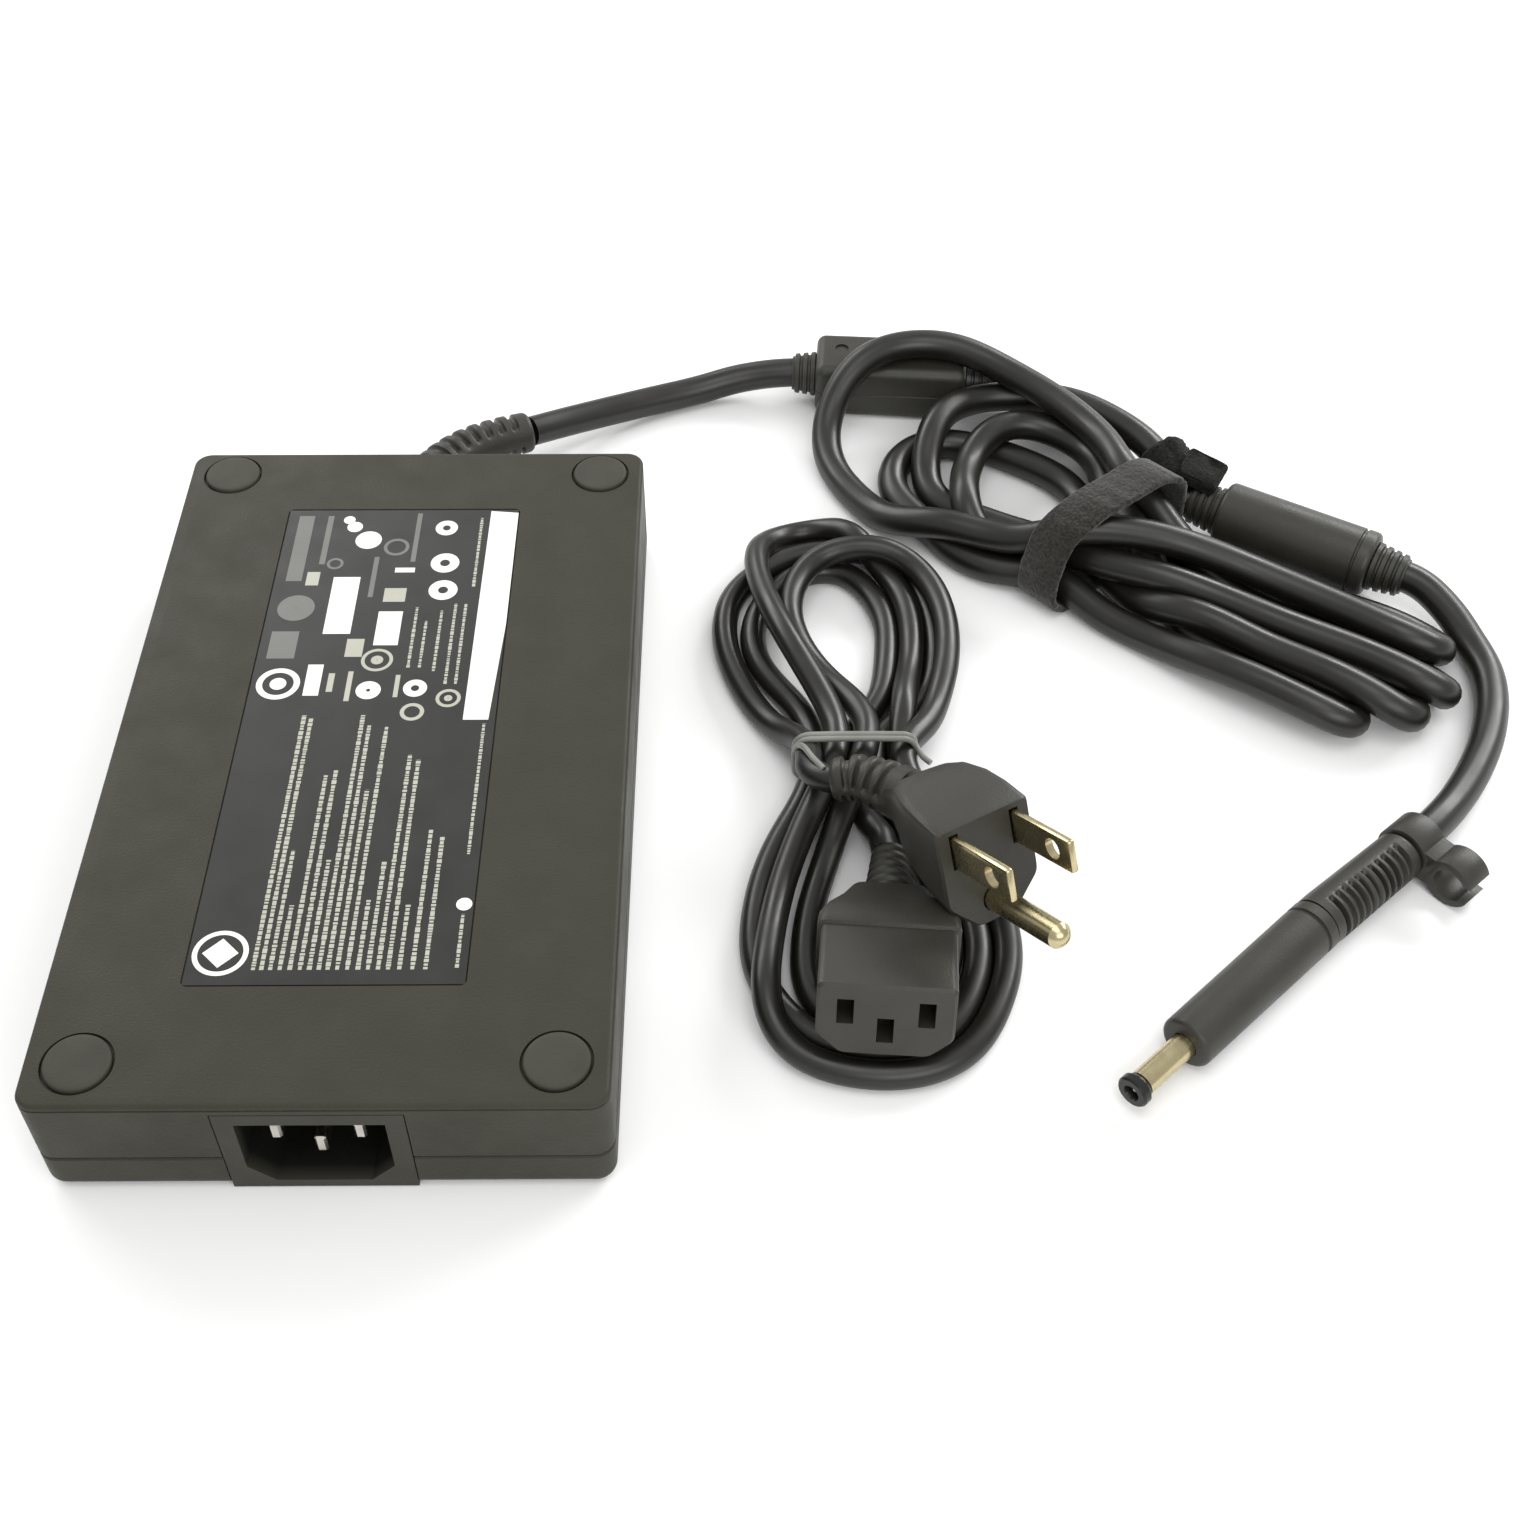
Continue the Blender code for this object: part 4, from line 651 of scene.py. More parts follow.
def lay_dc_cord():
    """The low-voltage cord from the case to its plug, wound into the strapped hank."""
    line = even_steps(smooth_line([*LEAD, *hank_route(), *TAIL], 16), 3.0)
    start, end = (np.linalg.norm(line - place, axis=1).argmin() for place in (LEAD[-1], TAIL[0]))
    free = np.zeros(len(line), bool)
    free[start + 1:end] = True
    radius = DC_DIAMETER / MM / 2
    sleeve_middle = (SLEEVE_START + SLEEVE_END) / 2 / MM
    strap_middle = beside_strap(STRAP_MIDDLE)[0]
    # The two ferrites, which the cord passes over or beside, and the inside of the strap
    obstacles = [
        block_obstacle(BLOCK_CENTRE / MM, Matrix.Rotation(BLOCK_YAW, 3, "Z"),
                       np.array(BLOCK) / MM / 2 - 2, radius + 2),
        block_obstacle(sleeve_middle, frame_along(SLEEVE_END - SLEEVE_START),
                       np.array((17.2, 2, 2)), radius + 5.4),
        band_obstacle(strap_middle, STRAP_TURN, STRAP_ROOM, radius, 5.5),
    ]
    return lay_cord("dc_cord", line, DC_DIAMETER, free, obstacles,
                    "dc_cord_lead", "dc_cord_hank", "dc_cord_tail")


def lay_mains_cord():
    """The loose lead's cord, wound in a figure of eight that a wire tie holds at its waist."""
    line = even_steps(smooth_line(MAINS_ROUTE, 16), 2.6)
    free = np.ones(len(line), bool)
    free[:3] = False
    free[-5:] = False
    radius = MAINS_DIAMETER / MM / 2
    turn = connector_turn()
    face = CONNECTOR_FACE / MM
    nose, rear, boot = (face + turn @ Vector((-along, 0, 0)) for along in (9.5, 25, 40))
    tie = TIE_CENTRE / MM
    quarter = Matrix.Rotation(pi / 2, 3, "Z")
    # The connector's nose, its tapering rear and its boot, and the inside of the tie
    obstacles = [
        block_obstacle(nose, turn, np.array((8.5, 11.4, 7.2)), radius + 1.3),
        block_obstacle(rear, turn, np.array((5.5, 7.5, 5.4)), radius + 1.3),
        block_obstacle(boot, turn, np.array((6, 1.5, 1.5)), radius + 3),
        band_obstacle((tie.x, tie.y, 0), quarter, TIE_ROOM, radius, 2.2),
    ]
    return lay_cord("mains_cord", line, MAINS_DIAMETER, free, obstacles,
                    "mains_cord_upper_loops", "mains_cord_lower_loops", "mains_cord_plug_run")


# Case

def case_ring(inset, height):
    outline = rounded_rectangle(CASE.x - 2 * inset, CASE.y - 2 * inset, CORNER - inset, 8)
    return [Vector((x, y, height)) for x, y in outline]


def case_half(name, stations, floor, ceiling, node):
    """One half of the case: rings at (inset, height) stations, with its inside hollowed out."""
    shell = add_solid(name, loft([case_ring(*s) for s in stations]), "case_plastic", node)
    hollow = Vector((CASE.x - 2 * WALL, CASE.y - 2 * WALL, ceiling - floor))
    cut(shell, block(hollow), None, (0, 0, (floor + ceiling) / 2))
    return shell


def cut_case_openings(shell):
    """Takes away the notch for the mains inlet and the hole for the low-voltage cord."""
    front = -CASE.y / 2
    panel = Vector((PANEL.x + 0.0004, 2 * PANEL.y + 0.0006, PANEL.z + 0.0004))
    cut(shell, block(panel), None, (INLET_X, front, PANEL_BOTTOM + PANEL.z / 2))
    body = INLET_BODY + Vector((0.0006, 0.004, 0.0006))
    cut(shell, block(body), None, (INLET_X, front + body.y / 2, INLET_BODY_MIDDLE))
    cut(shell, rod(OUTLET_HOLE_RADIUS, 4 * WALL), Matrix.Rotation(pi / 2, 3, "Z"), OUTLET)


def add_lower_case():
    top = SEAM_HEIGHT - SEAM_GAP
    edge = arc((BOTTOM_EDGE, BOTTOM_EDGE), BOTTOM_EDGE, 270, 180, 8)
    stations = [*edge, (0, top - 0.0003), (0.0003, top)]
    shell = case_half("lower_case", stations, WALL, CASE.z, "plain_side_shell")
    cut_case_openings(shell)


def add_upper_case():
    bottom = SEAM_HEIGHT + SEAM_GAP
    line, half = RIM_LINE_HEIGHT, RIM_LINE_SIZE / 2
    stations = [
        (0.0003, bottom), (0, bottom + 0.0003), (0, line - half), (half, line - 0.5 * half),
        (half, line + 0.5 * half), (0, line + half), (0, CASE.z - TOP_EDGE),
        *arc((TOP_EDGE, CASE.z - TOP_EDGE), TOP_EDGE, 180, 90, 6)[1:],
    ]
    shell = case_half("upper_case", stations, 0, CASE.z - WALL, "label_side_shell")
    cut_case_openings(shell)
    for x, y in FOOT_PLACES:
        cut(shell, rod(FOOT_RECESS.x, 2 * FOOT_RECESS.y, 48, "Z"), None, (x, y, CASE.z))
    recess = rounded_box(
        Vector((2 * LABEL_RECESS, LABEL.x + 0.0006, LABEL.y + 0.0006)), 0.0012, 0.0001, 2
    )
    upright = Matrix.Rotation(pi / 2, 3, "Y") @ Matrix.Rotation(pi / 2, 3, "X")
    cut(shell, recess, upright, LABEL_CENTRE + Vector((0, 0, CASE.z)))


def add_feet():
    """Four domed rubber pads in their recesses."""
    upright = Matrix.Rotation(-pi / 2, 3, "Y")
    profile = [
        (0, 0), (0, FOOT_RADIUS), (0.0010, FOOT_RADIUS),
        *arc((0.0010, FOOT_RADIUS - 0.0005), 0.0005, 90, 10, 4),
        (0.00152, FOOT_RADIUS - 0.0012), (FOOT_HEIGHT, 0),
    ]
    names = ("front_left", "back_left", "front_right", "back_right")
    for name, (x, y) in zip(names, FOOT_PLACES):
        place = (x, y, CASE.z + 0.0006 - FOOT_HEIGHT)
        add_solid(f"rubber_foot_{name}", turned(profile), "foot_rubber", f"foot_{name}", upright, place)


def label_top():
    """The height of the printing, a hair above the label."""
    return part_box("rating_label")[1].z + 0.00002


def print_patch(bm, x, y, width, length, turn=0.0, index=0):
    """A thin printed rectangle on the label, with its centre at x, y."""
    height = label_top()
    spin = Matrix.Rotation(turn, 3, "Z")
    corners = [
        spin @ Vector((sx * width / 2, sy * length / 2, 0)) + Vector((x, y, height))
        for sx, sy in ((-1, -1), (1, -1), (1, 1), (-1, 1))
    ]
    face = bm.faces.new([bm.verts.new(corner) for corner in corners])
    face.material_index = index
    return face


def print_ring(bm, x, y, outer, inner, index):
    """A thin printed ring, or a disc where inner is nearly nothing."""
    height, sides = label_top(), 40
    rings = [
        [bm.verts.new((x + r * cos(2 * pi * i / sides), y + r * sin(2 * pi * i / sides), height))
         for i in range(sides)]
        for r in (inner, outer)
    ]
    for i in range(sides):
        j = (i + 1) % sides
        face = bm.faces.new((rings[0][i], rings[1][i], rings[1][j], rings[0][j]))
        face.material_index = index


def print_lines(bm, x, y_low, y_high, height, chance):
    """A line of small dashes running along Y, standing for text."""
    y = y_low
    while y < y_high:
        length = min(chance.uniform(0.0003, 0.0011), y_high - y)
        print_patch(bm, x, y + length / 2, height * chance.uniform(0.7, 1), length, 0, 2)
        y += length + chance.uniform(0.00012, 0.0003)


def add_label_print():
    """The label's printing, without lettering: dashes for text, rings, discs and plain tiles."""
    chance = random.Random(7)
    bm = bmesh.new()
    for x, top in LABEL_TEXT_COLUMNS:
        print_lines(bm, x * MM, LABEL_TEXT_BOTTOM * MM, top * MM, 0.0009, chance)
    for x, bottom, top in LABEL_SIDE_COLUMNS:
        print_lines(bm, x * MM, bottom * MM, top * MM, 0.0007, chance)
    bm.faces.new([bm.verts.new((x * MM, y * MM, label_top())) for x, y in LABEL_STRIP[::-1]])
    for x, y, outer, inner, shade in LABEL_RINGS:
        print_ring(bm, x * MM, y * MM, outer * MM, inner * MM, shade)
    for x, y, width, length, shade in LABEL_TILES:
        print_patch(bm, x * MM, y * MM, width * MM, length * MM, 0, shade)
    x, y = LABEL_DIAMOND
    print_patch(bm, x * MM, y * MM, 0.0044, 0.0044, radians(45))
    mesh = bpy.data.meshes.new("label_print")
    bm.to_mesh(mesh)
    bm.free()
    piece = new_piece("label_print", mesh, "print_white", "rating_label")
    for finish in ("print_grey", "print_pale"):
        mesh.materials.append(material(finish))


# Ribbed boots and ferrites

def slotted_boot(line, radii, slots, first, last, facing, depth=0.0009, wide=64):
    """A flexible boot along a line, with two staggered rows of slots and a plain spine between.

    radii holds (share of the length, radius) pairs, and facing is the angle of the first row.
    """
    points = [Vector(p) * MM for p in even_steps(smooth_line(line, 12), 0.28)]
    shares, sizes = zip(*radii)
    pitch = (last - first) / slots

    def radius_at(i, angle):
        share = i / (len(points) - 1)
        radius = float(np.interp(share, shares, sizes))
        cut = 0.0
        for row, turn in ((0.0, facing), (0.5, facing + pi)):
            place = (share - first) / pitch - row
            if not -0.01 <= place <= slots - row:
                continue
            along = 0.5 - abs(place % 1.0 - 0.5)
            round_it = abs((angle - turn + pi) % (2 * pi) - pi)
            along_cut = float(np.clip((along - 0.22) / 0.10, 0, 1))
            round_cut = float(np.clip((radians(wide) - round_it) / radians(7), 0, 1))
            cut = max(cut, along_cut * round_cut)
        return radius - depth * cut

    return swept(points, 60, radius_at)


def add_outlet_boot():
    route = [(OUTLET.x / MM, 79.2, OUTLET.z / MM), *OUTLET_BOOT_ROUTE]
    radii = [
        (0, 0.0038), (0.08, 0.0038), (0.095, 0.0056), (0.60, 0.0051), (0.985, 0.0046), (1, 0.0042),
    ]
    bm = slotted_boot(route, radii, 9, 0.20, 0.94, radians(-20))
    add_solid("outlet_boot", bm, "moulded_rubber", "dc_strain_relief", angle=radians(60))


def ribbed_relief(length, start, end, ribs):
    """A short ribbed cone along X from radius start to end, with a root that is let in."""
    profile = [(-0.0010, 0), (-0.0010, start)]
    for rib in range(ribs):
        near, far = rib / ribs, (rib + 0.62) / ribs
        for share, sink in ((near, 0.0006), (near + 0.04, 0), (far, 0), (far + 0.04, 0.0006)):
            profile.append((length * share, start + (end - start) * share - sink))
    return turned([*profile, (length, end - 0.0006), (length, 0)])


def seamed(outline, depth=0.0002, half=0.00018):
    """Adds a fine parting line half way up both sides of a rounded rectangle's outline."""
    wide = max(y for y, _ in outline)
    middle = len(outline) // 2
    right = [(wide, -half), (wide - depth, 0), (wide, half)]
    left = [(-y, -z) for y, z in right]
    return [*outline[:middle], *left, *outline[middle:], *right]


def add_block_ferrite():
    turn = Matrix.Rotation(BLOCK_YAW, 3, "Z")
    bm = rounded_box(BLOCK, 0.0024, 0.0021, 6, seamed)
    node = "ferrite_block_cover"
    cover = add_solid("ferrite_block", bm, "moulded_rubber", node, turn, BLOCK_CENTRE)
    mark = rod(0.0016, 0.0008, 32, "Z")
    cut(cover, mark, turn, BLOCK_CENTRE + turn @ Vector((-0.0118, 0.0012, BLOCK.z / 2)))
    for end, sign in (("near", -1), ("far", 1)):
        relief = ribbed_relief(0.0056, 0.0052, 0.0045, 3)
        away = frame_along(turn @ Vector((sign, 0, 0)))
        start = BLOCK_CENTRE + turn @ Vector((sign * BLOCK.x / 2, 0, 0))
        add_solid(f"ferrite_block_relief_{end}", relief, "moulded_rubber", node, away, start)
    return cover


def add_sleeve_ferrite():
    along = SLEEVE_END - SLEEVE_START
    length, radius = along.length, SLEEVE_RADIUS
    turn = frame_along(along)
    seam = length - 0.0034
    profile = [
        (0, 0), (0, radius - 0.0012), *arc((0.0012, radius - 0.0012), 0.0012, 180, 90),
        (seam - 0.0004, radius), (seam - 0.0002, radius - 0.0004), (seam + 0.0002, radius - 0.0004),
        (seam + 0.0004, radius), *arc((length - 0.0012, radius - 0.0012), 0.0012, 90, 0), (length, 0),
    ]
    node = "ferrite_sleeve_cover"
    bm = turned(profile, 64)
    cover = add_solid("ferrite_sleeve", bm, "moulded_rubber", node, turn, SLEEVE_START)
    for end, away, start in (
        ("near", frame_along(-along), SLEEVE_START), ("far", turn, SLEEVE_END),
    ):
        relief = ribbed_relief(0.0074, 0.0054, 0.0045, 4)
        add_solid(f"ferrite_sleeve_relief_{end}", relief, "moulded_rubber", node, away, start)
    return cover


# Strap

def add_strap():
    """A woven hook-and-loop band round the hank."""
    chance = random.Random(3)
    line = smooth_line(STRAP_LOOP, 10)[:-1] * MM
    count = len(line)
    section = rounded_rectangle(STRAP_WIDTH, STRAP_THICKNESS, 0.0006, 3)
    rings = []
    for i, point in enumerate(line):
        ahead = Vector(line[(i + 1) % count] - line[i - 1]).normalized()
        out = ahead.cross(Vector((1, 0, 0))).normalized()
        ring = []
        for across, up in section:
            rough = chance.uniform(-0.00016, 0.00016)
            place = Vector(point) + Vector((across + rough, 0, 0)) + out * (up + rough)
            place.z = max(place.z, 0)
            ring.append(place)
        rings.append(ring)
    bm = loft(rings, endless=True)
    return add_solid("strap_band", bm, "strap_fabric", "cord_strap", STRAP_TURN, STRAP_ORIGIN, pi)


def add_strap_head():
    """The strap's thick end, rolled round the strand nearest the sleeve ferrite, and its tab."""
    chance = random.Random(5)
    path = [Vector(point) * MM for point in even_steps(smooth_line(STRAP_ROLL, 12), 0.45)]
    inner, lap, edge, nap = 0.0046, 0.0010, 0.0006, 0.0002

    def radius_at(i, angle):
        """A spiral, one lap thick at its outer end, that is rounded at both edges."""
        end = min(i, len(path) - 1 - i, 2) / 2
        return inner + lap * angle / (2 * pi) + edge * end + chance.uniform(-nap, nap)

    roll = add_solid("strap_roll", swept(path, 44, radius_at), "strap_hooks", "cord_strap", angle=pi)
    start, end = (Vector(point) * MM for point in STRAP_TAB)
    tab = rounded_box(Vector(((end - start).length, STRAP_WIDTH, 0.0030)), 0.0012, 0.0010)
    bmesh.ops.subdivide_edges(tab, edges=tab.edges, cuts=2, use_grid_fill=True)
    for vert in tab.verts:
        vert.co += Vector([chance.uniform(-0.00015, 0.00015) for _ in range(3)])
    flap = add_solid("strap_tab", tab, "strap_hooks", "cord_strap", frame_along(end - start),
                     (start + end) / 2, pi)
    return roll, flap


# Low-voltage plug and clip

def add_dc_plug():
    turn = Matrix.Rotation(PLUG_YAW, 3, "Z")
    line = [tuple(BOOT_START.lerp(PLUG_START, share) / MM) for share in (0, 0.5, 1)]
    radii = [(0, 0.0044), (0.03, 0.0049), (0.9, 0.0052), (1, 0.0051)]
    bm = slotted_boot(line, radii, 11, 0.10, 0.93, radians(-48), 0.0011, 54)
    boot = add_solid("plug_boot", bm, "moulded_rubber", "dc_plug_boot", angle=radians(60))
    length, radius = PLUG_LENGTH, PLUG_RADIUS
    socket = BARREL_RADIUS + 0.0001
    profile = [
        (0, 0), (0, radius - 0.0005), (0.0005, radius), (0.0026, radius), (0.0028, radius - 0.0004),
        (0.0034, radius - 0.0004), (0.0036, radius), (length - 0.0010, radius - 0.0001),
        *arc((length - 0.0010, radius - 0.0011), 0.0010, 90, 0), (length, socket),
        (length - 0.0030, socket), (length - 0.0030, 0),
    ]
    bm = turned(profile, 64)
    body = add_solid("plug_body", bm, "moulded_rubber", "dc_plug_body", turn, PLUG_START)
    far, bore = length + BARREL_REACH, 0.0017
    profile = [
        (length - 0.0029, 0), (length - 0.0029, BARREL_RADIUS), (far, BARREL_RADIUS), (far, bore),
        (far - 0.0100, bore), (far - 0.0100, 0),
    ]
    barrel = add_solid("plug_barrel", turned(profile), "brass", "dc_plug_barrel", turn, PLUG_START)
    near = far + 0.0002
    profile = [
        (near, 0.0013), (near, 0.0024), (near + 0.0006, 0.0028), (near + 0.0009, 0.0031),
        (near + 0.0022, 0.0031), (near + 0.0026, 0.0028), (near + 0.0026, 0.0016),
        (near + 0.0020, 0.0013),
    ]
    bm = turned([*profile, profile[0]])
    tip = add_solid("plug_tip", bm, "tip_plastic", "dc_plug_tip", turn, PLUG_START)
    return [boot, body, barrel, tip]


def add_clip():
    """A ring that turns on the cord, with an open hook beside it that snaps over a turn of cord."""
    turn = Matrix.Rotation(CLIP_YAW, 3, "Z")
    outer, bore = 0.0054, 0.0040
    hook, hook_bore, reach = 0.0050, 0.0033, 0.0102
    bm = rod(outer, CLIP_WIDTH, 64)
    clip = add_solid("clip", bm, "moulded_rubber", "cord_clip", turn, CLIP_CENTRE)

    def change(bm, offset, operation="DIFFERENCE"):
        cut(clip, bm, turn, CLIP_CENTRE + turn @ Vector(offset), operation)

    change(rod(hook, CLIP_WIDTH - 0.0002, 64), (0, reach, 0), "UNION")
    change(block((CLIP_WIDTH - 0.0004, reach, 0.0070)), (0, reach / 2, 0), "UNION")
    change(rod(bore, 0.02, 48), (0, 0, 0))
    change(rod(hook_bore, 0.02, 48), (0, reach + 0.0004, 0))
    change(block((0.02, 0.008, 0.0042)), (0, reach + 0.0045, 0))
    round_off(clip, 0.0004)
    return clip


# Mains lead

def connector_turn():
    return Matrix.Rotation(CONNECTOR_YAW, 3, "Z") @ Matrix.Rotation(-CONNECTOR_PITCH, 3, "Y")


def shield(width, top, bottom, chamfer, soft=0.0012, steps=4):
    """An outline with two lower corners cut off and every corner softened, as (y, z) pairs."""
    half = width / 2
    corners = [
        (half, top), (-half, top), (-half, bottom + chamfer), (chamfer - half, bottom),
        (half - chamfer, bottom), (half, bottom + chamfer),
    ]
    points = []
    for i, corner in enumerate(corners):
        corner = Vector(corner)
        before, after = Vector(corners[i - 1]), Vector(corners[(i + 1) % len(corners)])
        start = corner + (before - corner).normalized() * soft
        end = corner + (after - corner).normalized() * soft
        for step in range(steps + 1):
            t = step / steps
            points.append((1 - t) ** 2 * start + 2 * t * (1 - t) * corner + t * t * end)
    return points


def shield_body(stations):
    """Skins shield outlines at (along, width, top, bottom, chamfer, softness) stations."""
    return loft([
        [Vector((along, y, z)) for y, z in shield(*size)] for along, *size in stations
    ])


def add_connector():
    turn = connector_turn()
    length, wide, half = CONNECTOR.x, CONNECTOR.y, CONNECTOR.z / 2
    stations = [
        (0, wide - 0.0010, half - 0.0005, 0.0005 - half, 0.0040, 0.0010),
        (-0.0005, wide, half, -half, 0.0042, 0.0012),
        (-0.0155, wide, half, -half, 0.0042, 0.0012),
        (-0.0158, 0.0252, half + 0.0006, -half, 0.0042, 0.0016),
        (-0.0164, 0.0254, half + 0.0008, -half, 0.0042, 0.0018),
        (-0.0190, 0.0252, half + 0.0007, -half, 0.0042, 0.0022),
        (-0.0225, 0.0228, half - 0.0002, 0.0010 - half, 0.0042, 0.0026),
        (-0.0265, 0.0180, 0.0066, -0.0066, 0.0038, 0.0028),
        (0.0006 - length, 0.0146, 0.0056, -0.0056, 0.0036, 0.0028),
        (-length, 0.0130, 0.0048, -0.0048, 0.0030, 0.0024),
    ]
    node, sharp = "mains_connector_body", radians(28)
    body = add_solid("connector_body", shield_body(stations), "moulded_rubber", node, turn,
                     CONNECTOR_FACE, sharp)
    for y, z in CONNECTOR_SLOTS:
        slot = block((2 * SLOT.x, SLOT.y, SLOT.z))
        cut(body, slot, turn, CONNECTOR_FACE + turn @ Vector((0, y, z)), angle=sharp)
    start = CONNECTOR_FACE + turn @ Vector((0.0005 - length, 0, 0))
    back = frame_along(turn @ Vector((-1, 0, 0)))
    relief = ribbed_relief(0.0150, 0.0050, 0.0036, 6)
    boot = add_solid("connector_boot", relief, "moulded_rubber", node, back, start)
    return body, boot


def add_wall_plug():
    turn = frame_along(WALL_PLUG_OUT, WALL_PLUG_UP)
    stations = [
        (0, 0.0188, 0.0044, -0.0161, 0.0056, 0.0012),
        (-0.0006, 0.0196, 0.0048, -0.0165, 0.0058, 0.0014),
        (-0.0060, 0.0196, 0.0060, -0.0150, 0.0058, 0.0016),
        (-0.0110, 0.0188, 0.0069, -0.0124, 0.0052, 0.0020),
        (-0.0155, 0.0168, 0.0073, -0.0097, 0.0044, 0.0026),
        (-0.0190, 0.0140, 0.0065, -0.0080, 0.0038, 0.0028),
        (-0.0225, 0.0114, 0.0048, -0.0067, 0.0033, 0.0026),
        (-WALL_PLUG_LENGTH, 0.0096, 0.0030, -0.0060, 0.0030, 0.0022),
    ]
    node, sharp = "wall_plug_body", radians(24)
    body = add_solid("wall_plug_shell", shield_body(stations), "moulded_rubber", node, turn,
                     WALL_PLUG_FACE, sharp)
    for side in (-1, 1):
        seat = block((2 * BLADE_SEAT, BLADE.y + 0.0004, BLADE.z + 0.0004))
        place = WALL_PLUG_FACE + turn @ Vector((0, side * BLADE_SPACING / 2, 0))
        cut(body, seat, turn, place, angle=sharp)
        add_blade(turn, side)
    place = WALL_PLUG_FACE + turn @ Vector((0, 0, -EARTH_DROP))
    cut(body, rod(EARTH_PIN.y + 0.0002, 2 * BLADE_SEAT), turn, place, angle=sharp)
    length, radius = EARTH_PIN
    profile = [
        (0.0003 - BLADE_SEAT, 0), (0.0003 - BLADE_SEAT, radius), (length - 0.0016, radius),
        (length - 0.0007, radius - 0.0007), (length - 0.0001, radius - 0.0015), (length, 0),
    ]
    add_solid("earth_pin", turned(profile), "brass", "wall_plug_earth_pin", turn, place)
    radii = [(0, 0.0053), (0.2, 0.0052), (0.95, 0.0042), (1, 0.0036)]
    bm = slotted_boot(NECK, radii, 4, 0.14, 0.90, 0, 0.0010, 80)
    neck = add_solid("wall_plug_neck", bm, "moulded_rubber", node, angle=radians(60))
    return body, neck


def add_blade(turn, side):
    """A flat blade with rounded tip corners and the usual round hole near its end."""
    name = "line" if side > 0 else "neutral"
    length, aside = BLADE.x + BLADE_SEAT - 0.0003, side * BLADE_SPACING / 2
    place = WALL_PLUG_FACE + turn @ Vector((BLADE.x - length / 2, aside, 0))
    bm = block((length, BLADE.y, BLADE.z))
    blade = add_solid(f"blade_{name}", bm, "brass", f"wall_plug_{name}_blade", turn, place)
    round_off(blade, 0.0005)
    lie = turn @ Matrix.Rotation(pi / 2, 3, "X")
    hole = WALL_PLUG_FACE + turn @ Vector((BLADE_HOLE.x, aside, 0))
    cut(blade, rod(BLADE_HOLE.y, 0.01, 32, "Z"), lie, hole)


def add_tie():
    """A coated wire wound round the waist of the mains cord, with its two ends left free."""
    width, height = TIE_INNER + 2 * Vector((TIE_RADIUS, TIE_RADIUS))
    turn = rounded_rectangle(width / MM, height / MM, 3, 5)[::-1]
    winding = turn[len(turn) // 2:] + turn
    middle = TIE_CENTRE / MM
    loops = [
        middle + Vector((x, 1.8 * i / len(winding) - 0.9, z)) for i, (x, z) in enumerate(winding)
    ]
    line = [*TIE_NEAR_END, *loops, *TIE_FAR_END]
    return add_cord("tie", line, 2 * TIE_RADIUS, "tie_wire", "twist_tie")


# Materials

def new_material(name):
    made = bpy.data.materials.new(f"{name}_look")
    made.use_nodes = True
    return made, made.node_tree, made.node_tree.nodes["Principled BSDF"]


def noise(tree, scale, detail=3.0, stretch=(1, 1, 1)):
    """Noise fixed to the object, with scale features to the metre, stretched along the axes."""
    place = tree.nodes.new("ShaderNodeTexCoord")
    mapping = tree.nodes.new("ShaderNodeMapping")
    mapping.inputs["Scale"].default_value = stretch
    texture = tree.nodes.new("ShaderNodeTexNoise")
    texture.inputs["Scale"].default_value = scale
    texture.inputs["Detail"].default_value = detail
    tree.links.new(place.outputs["Object"], mapping.inputs["Vector"])
    tree.links.new(mapping.outputs["Vector"], texture.inputs["Vector"])
    return texture.outputs["Fac"]


def ramp(tree, value, low, high, start=0.35, end=0.65):
    """Turns a value between start and end into a colour between low and high."""
    made = tree.nodes.new("ShaderNodeValToRGB")
    made.color_ramp.elements[0].position = start
    made.color_ramp.elements[1].position = end
    made.color_ramp.elements[0].color = (*low, 1)
    made.color_ramp.elements[1].color = (*high, 1)
    tree.links.new(value, made.inputs["Fac"])
    return made.outputs["Color"]


def remap(tree, value, low, high, start=0.3, end=0.7):
    made = tree.nodes.new("ShaderNodeMapRange")
    made.inputs["From Min"].default_value = start
    made.inputs["From Max"].default_value = end
    made.inputs["To Min"].default_value = low
    made.inputs["To Max"].default_value = high
    tree.links.new(value, made.inputs["Value"])
    return made.outputs["Result"]


def bump(tree, shader, height, depth, under=None):
    """Raises the surface by up to depth metres where height is 1, on top of another bump."""
    made = tree.nodes.new("ShaderNodeBump")
    made.inputs["Distance"].default_value = depth
    tree.links.new(height, made.inputs["Height"])
    if under:
        tree.links.new(under, made.inputs["Normal"])
    tree.links.new(made.outputs["Normal"], shader.inputs["Normal"])
    return made.outputs["Normal"]


def shaded(colour, factor):
    return tuple(channel * factor for channel in colour)


def plastic(name, colour, rough, grain, depth, spread=0.12, shine=0.3):
    """Moulded plastic: a fine texture of grain features to the metre, and slight unevenness."""
    made, tree, shader = new_material(name)
    patches = noise(tree, 90, 8)
    link = tree.links.new
    link(ramp(tree, patches, shaded(colour, 1 - spread), shaded(colour, 1 + spread)),
         shader.inputs["Base Color"])
    link(remap(tree, noise(tree, 120, 5), rough - 0.05, rough + 0.07), shader.inputs["Roughness"])
    bump(tree, shader, noise(tree, grain, 2), depth)
    shader.inputs["Specular IOR Level"].default_value = shine
    return made


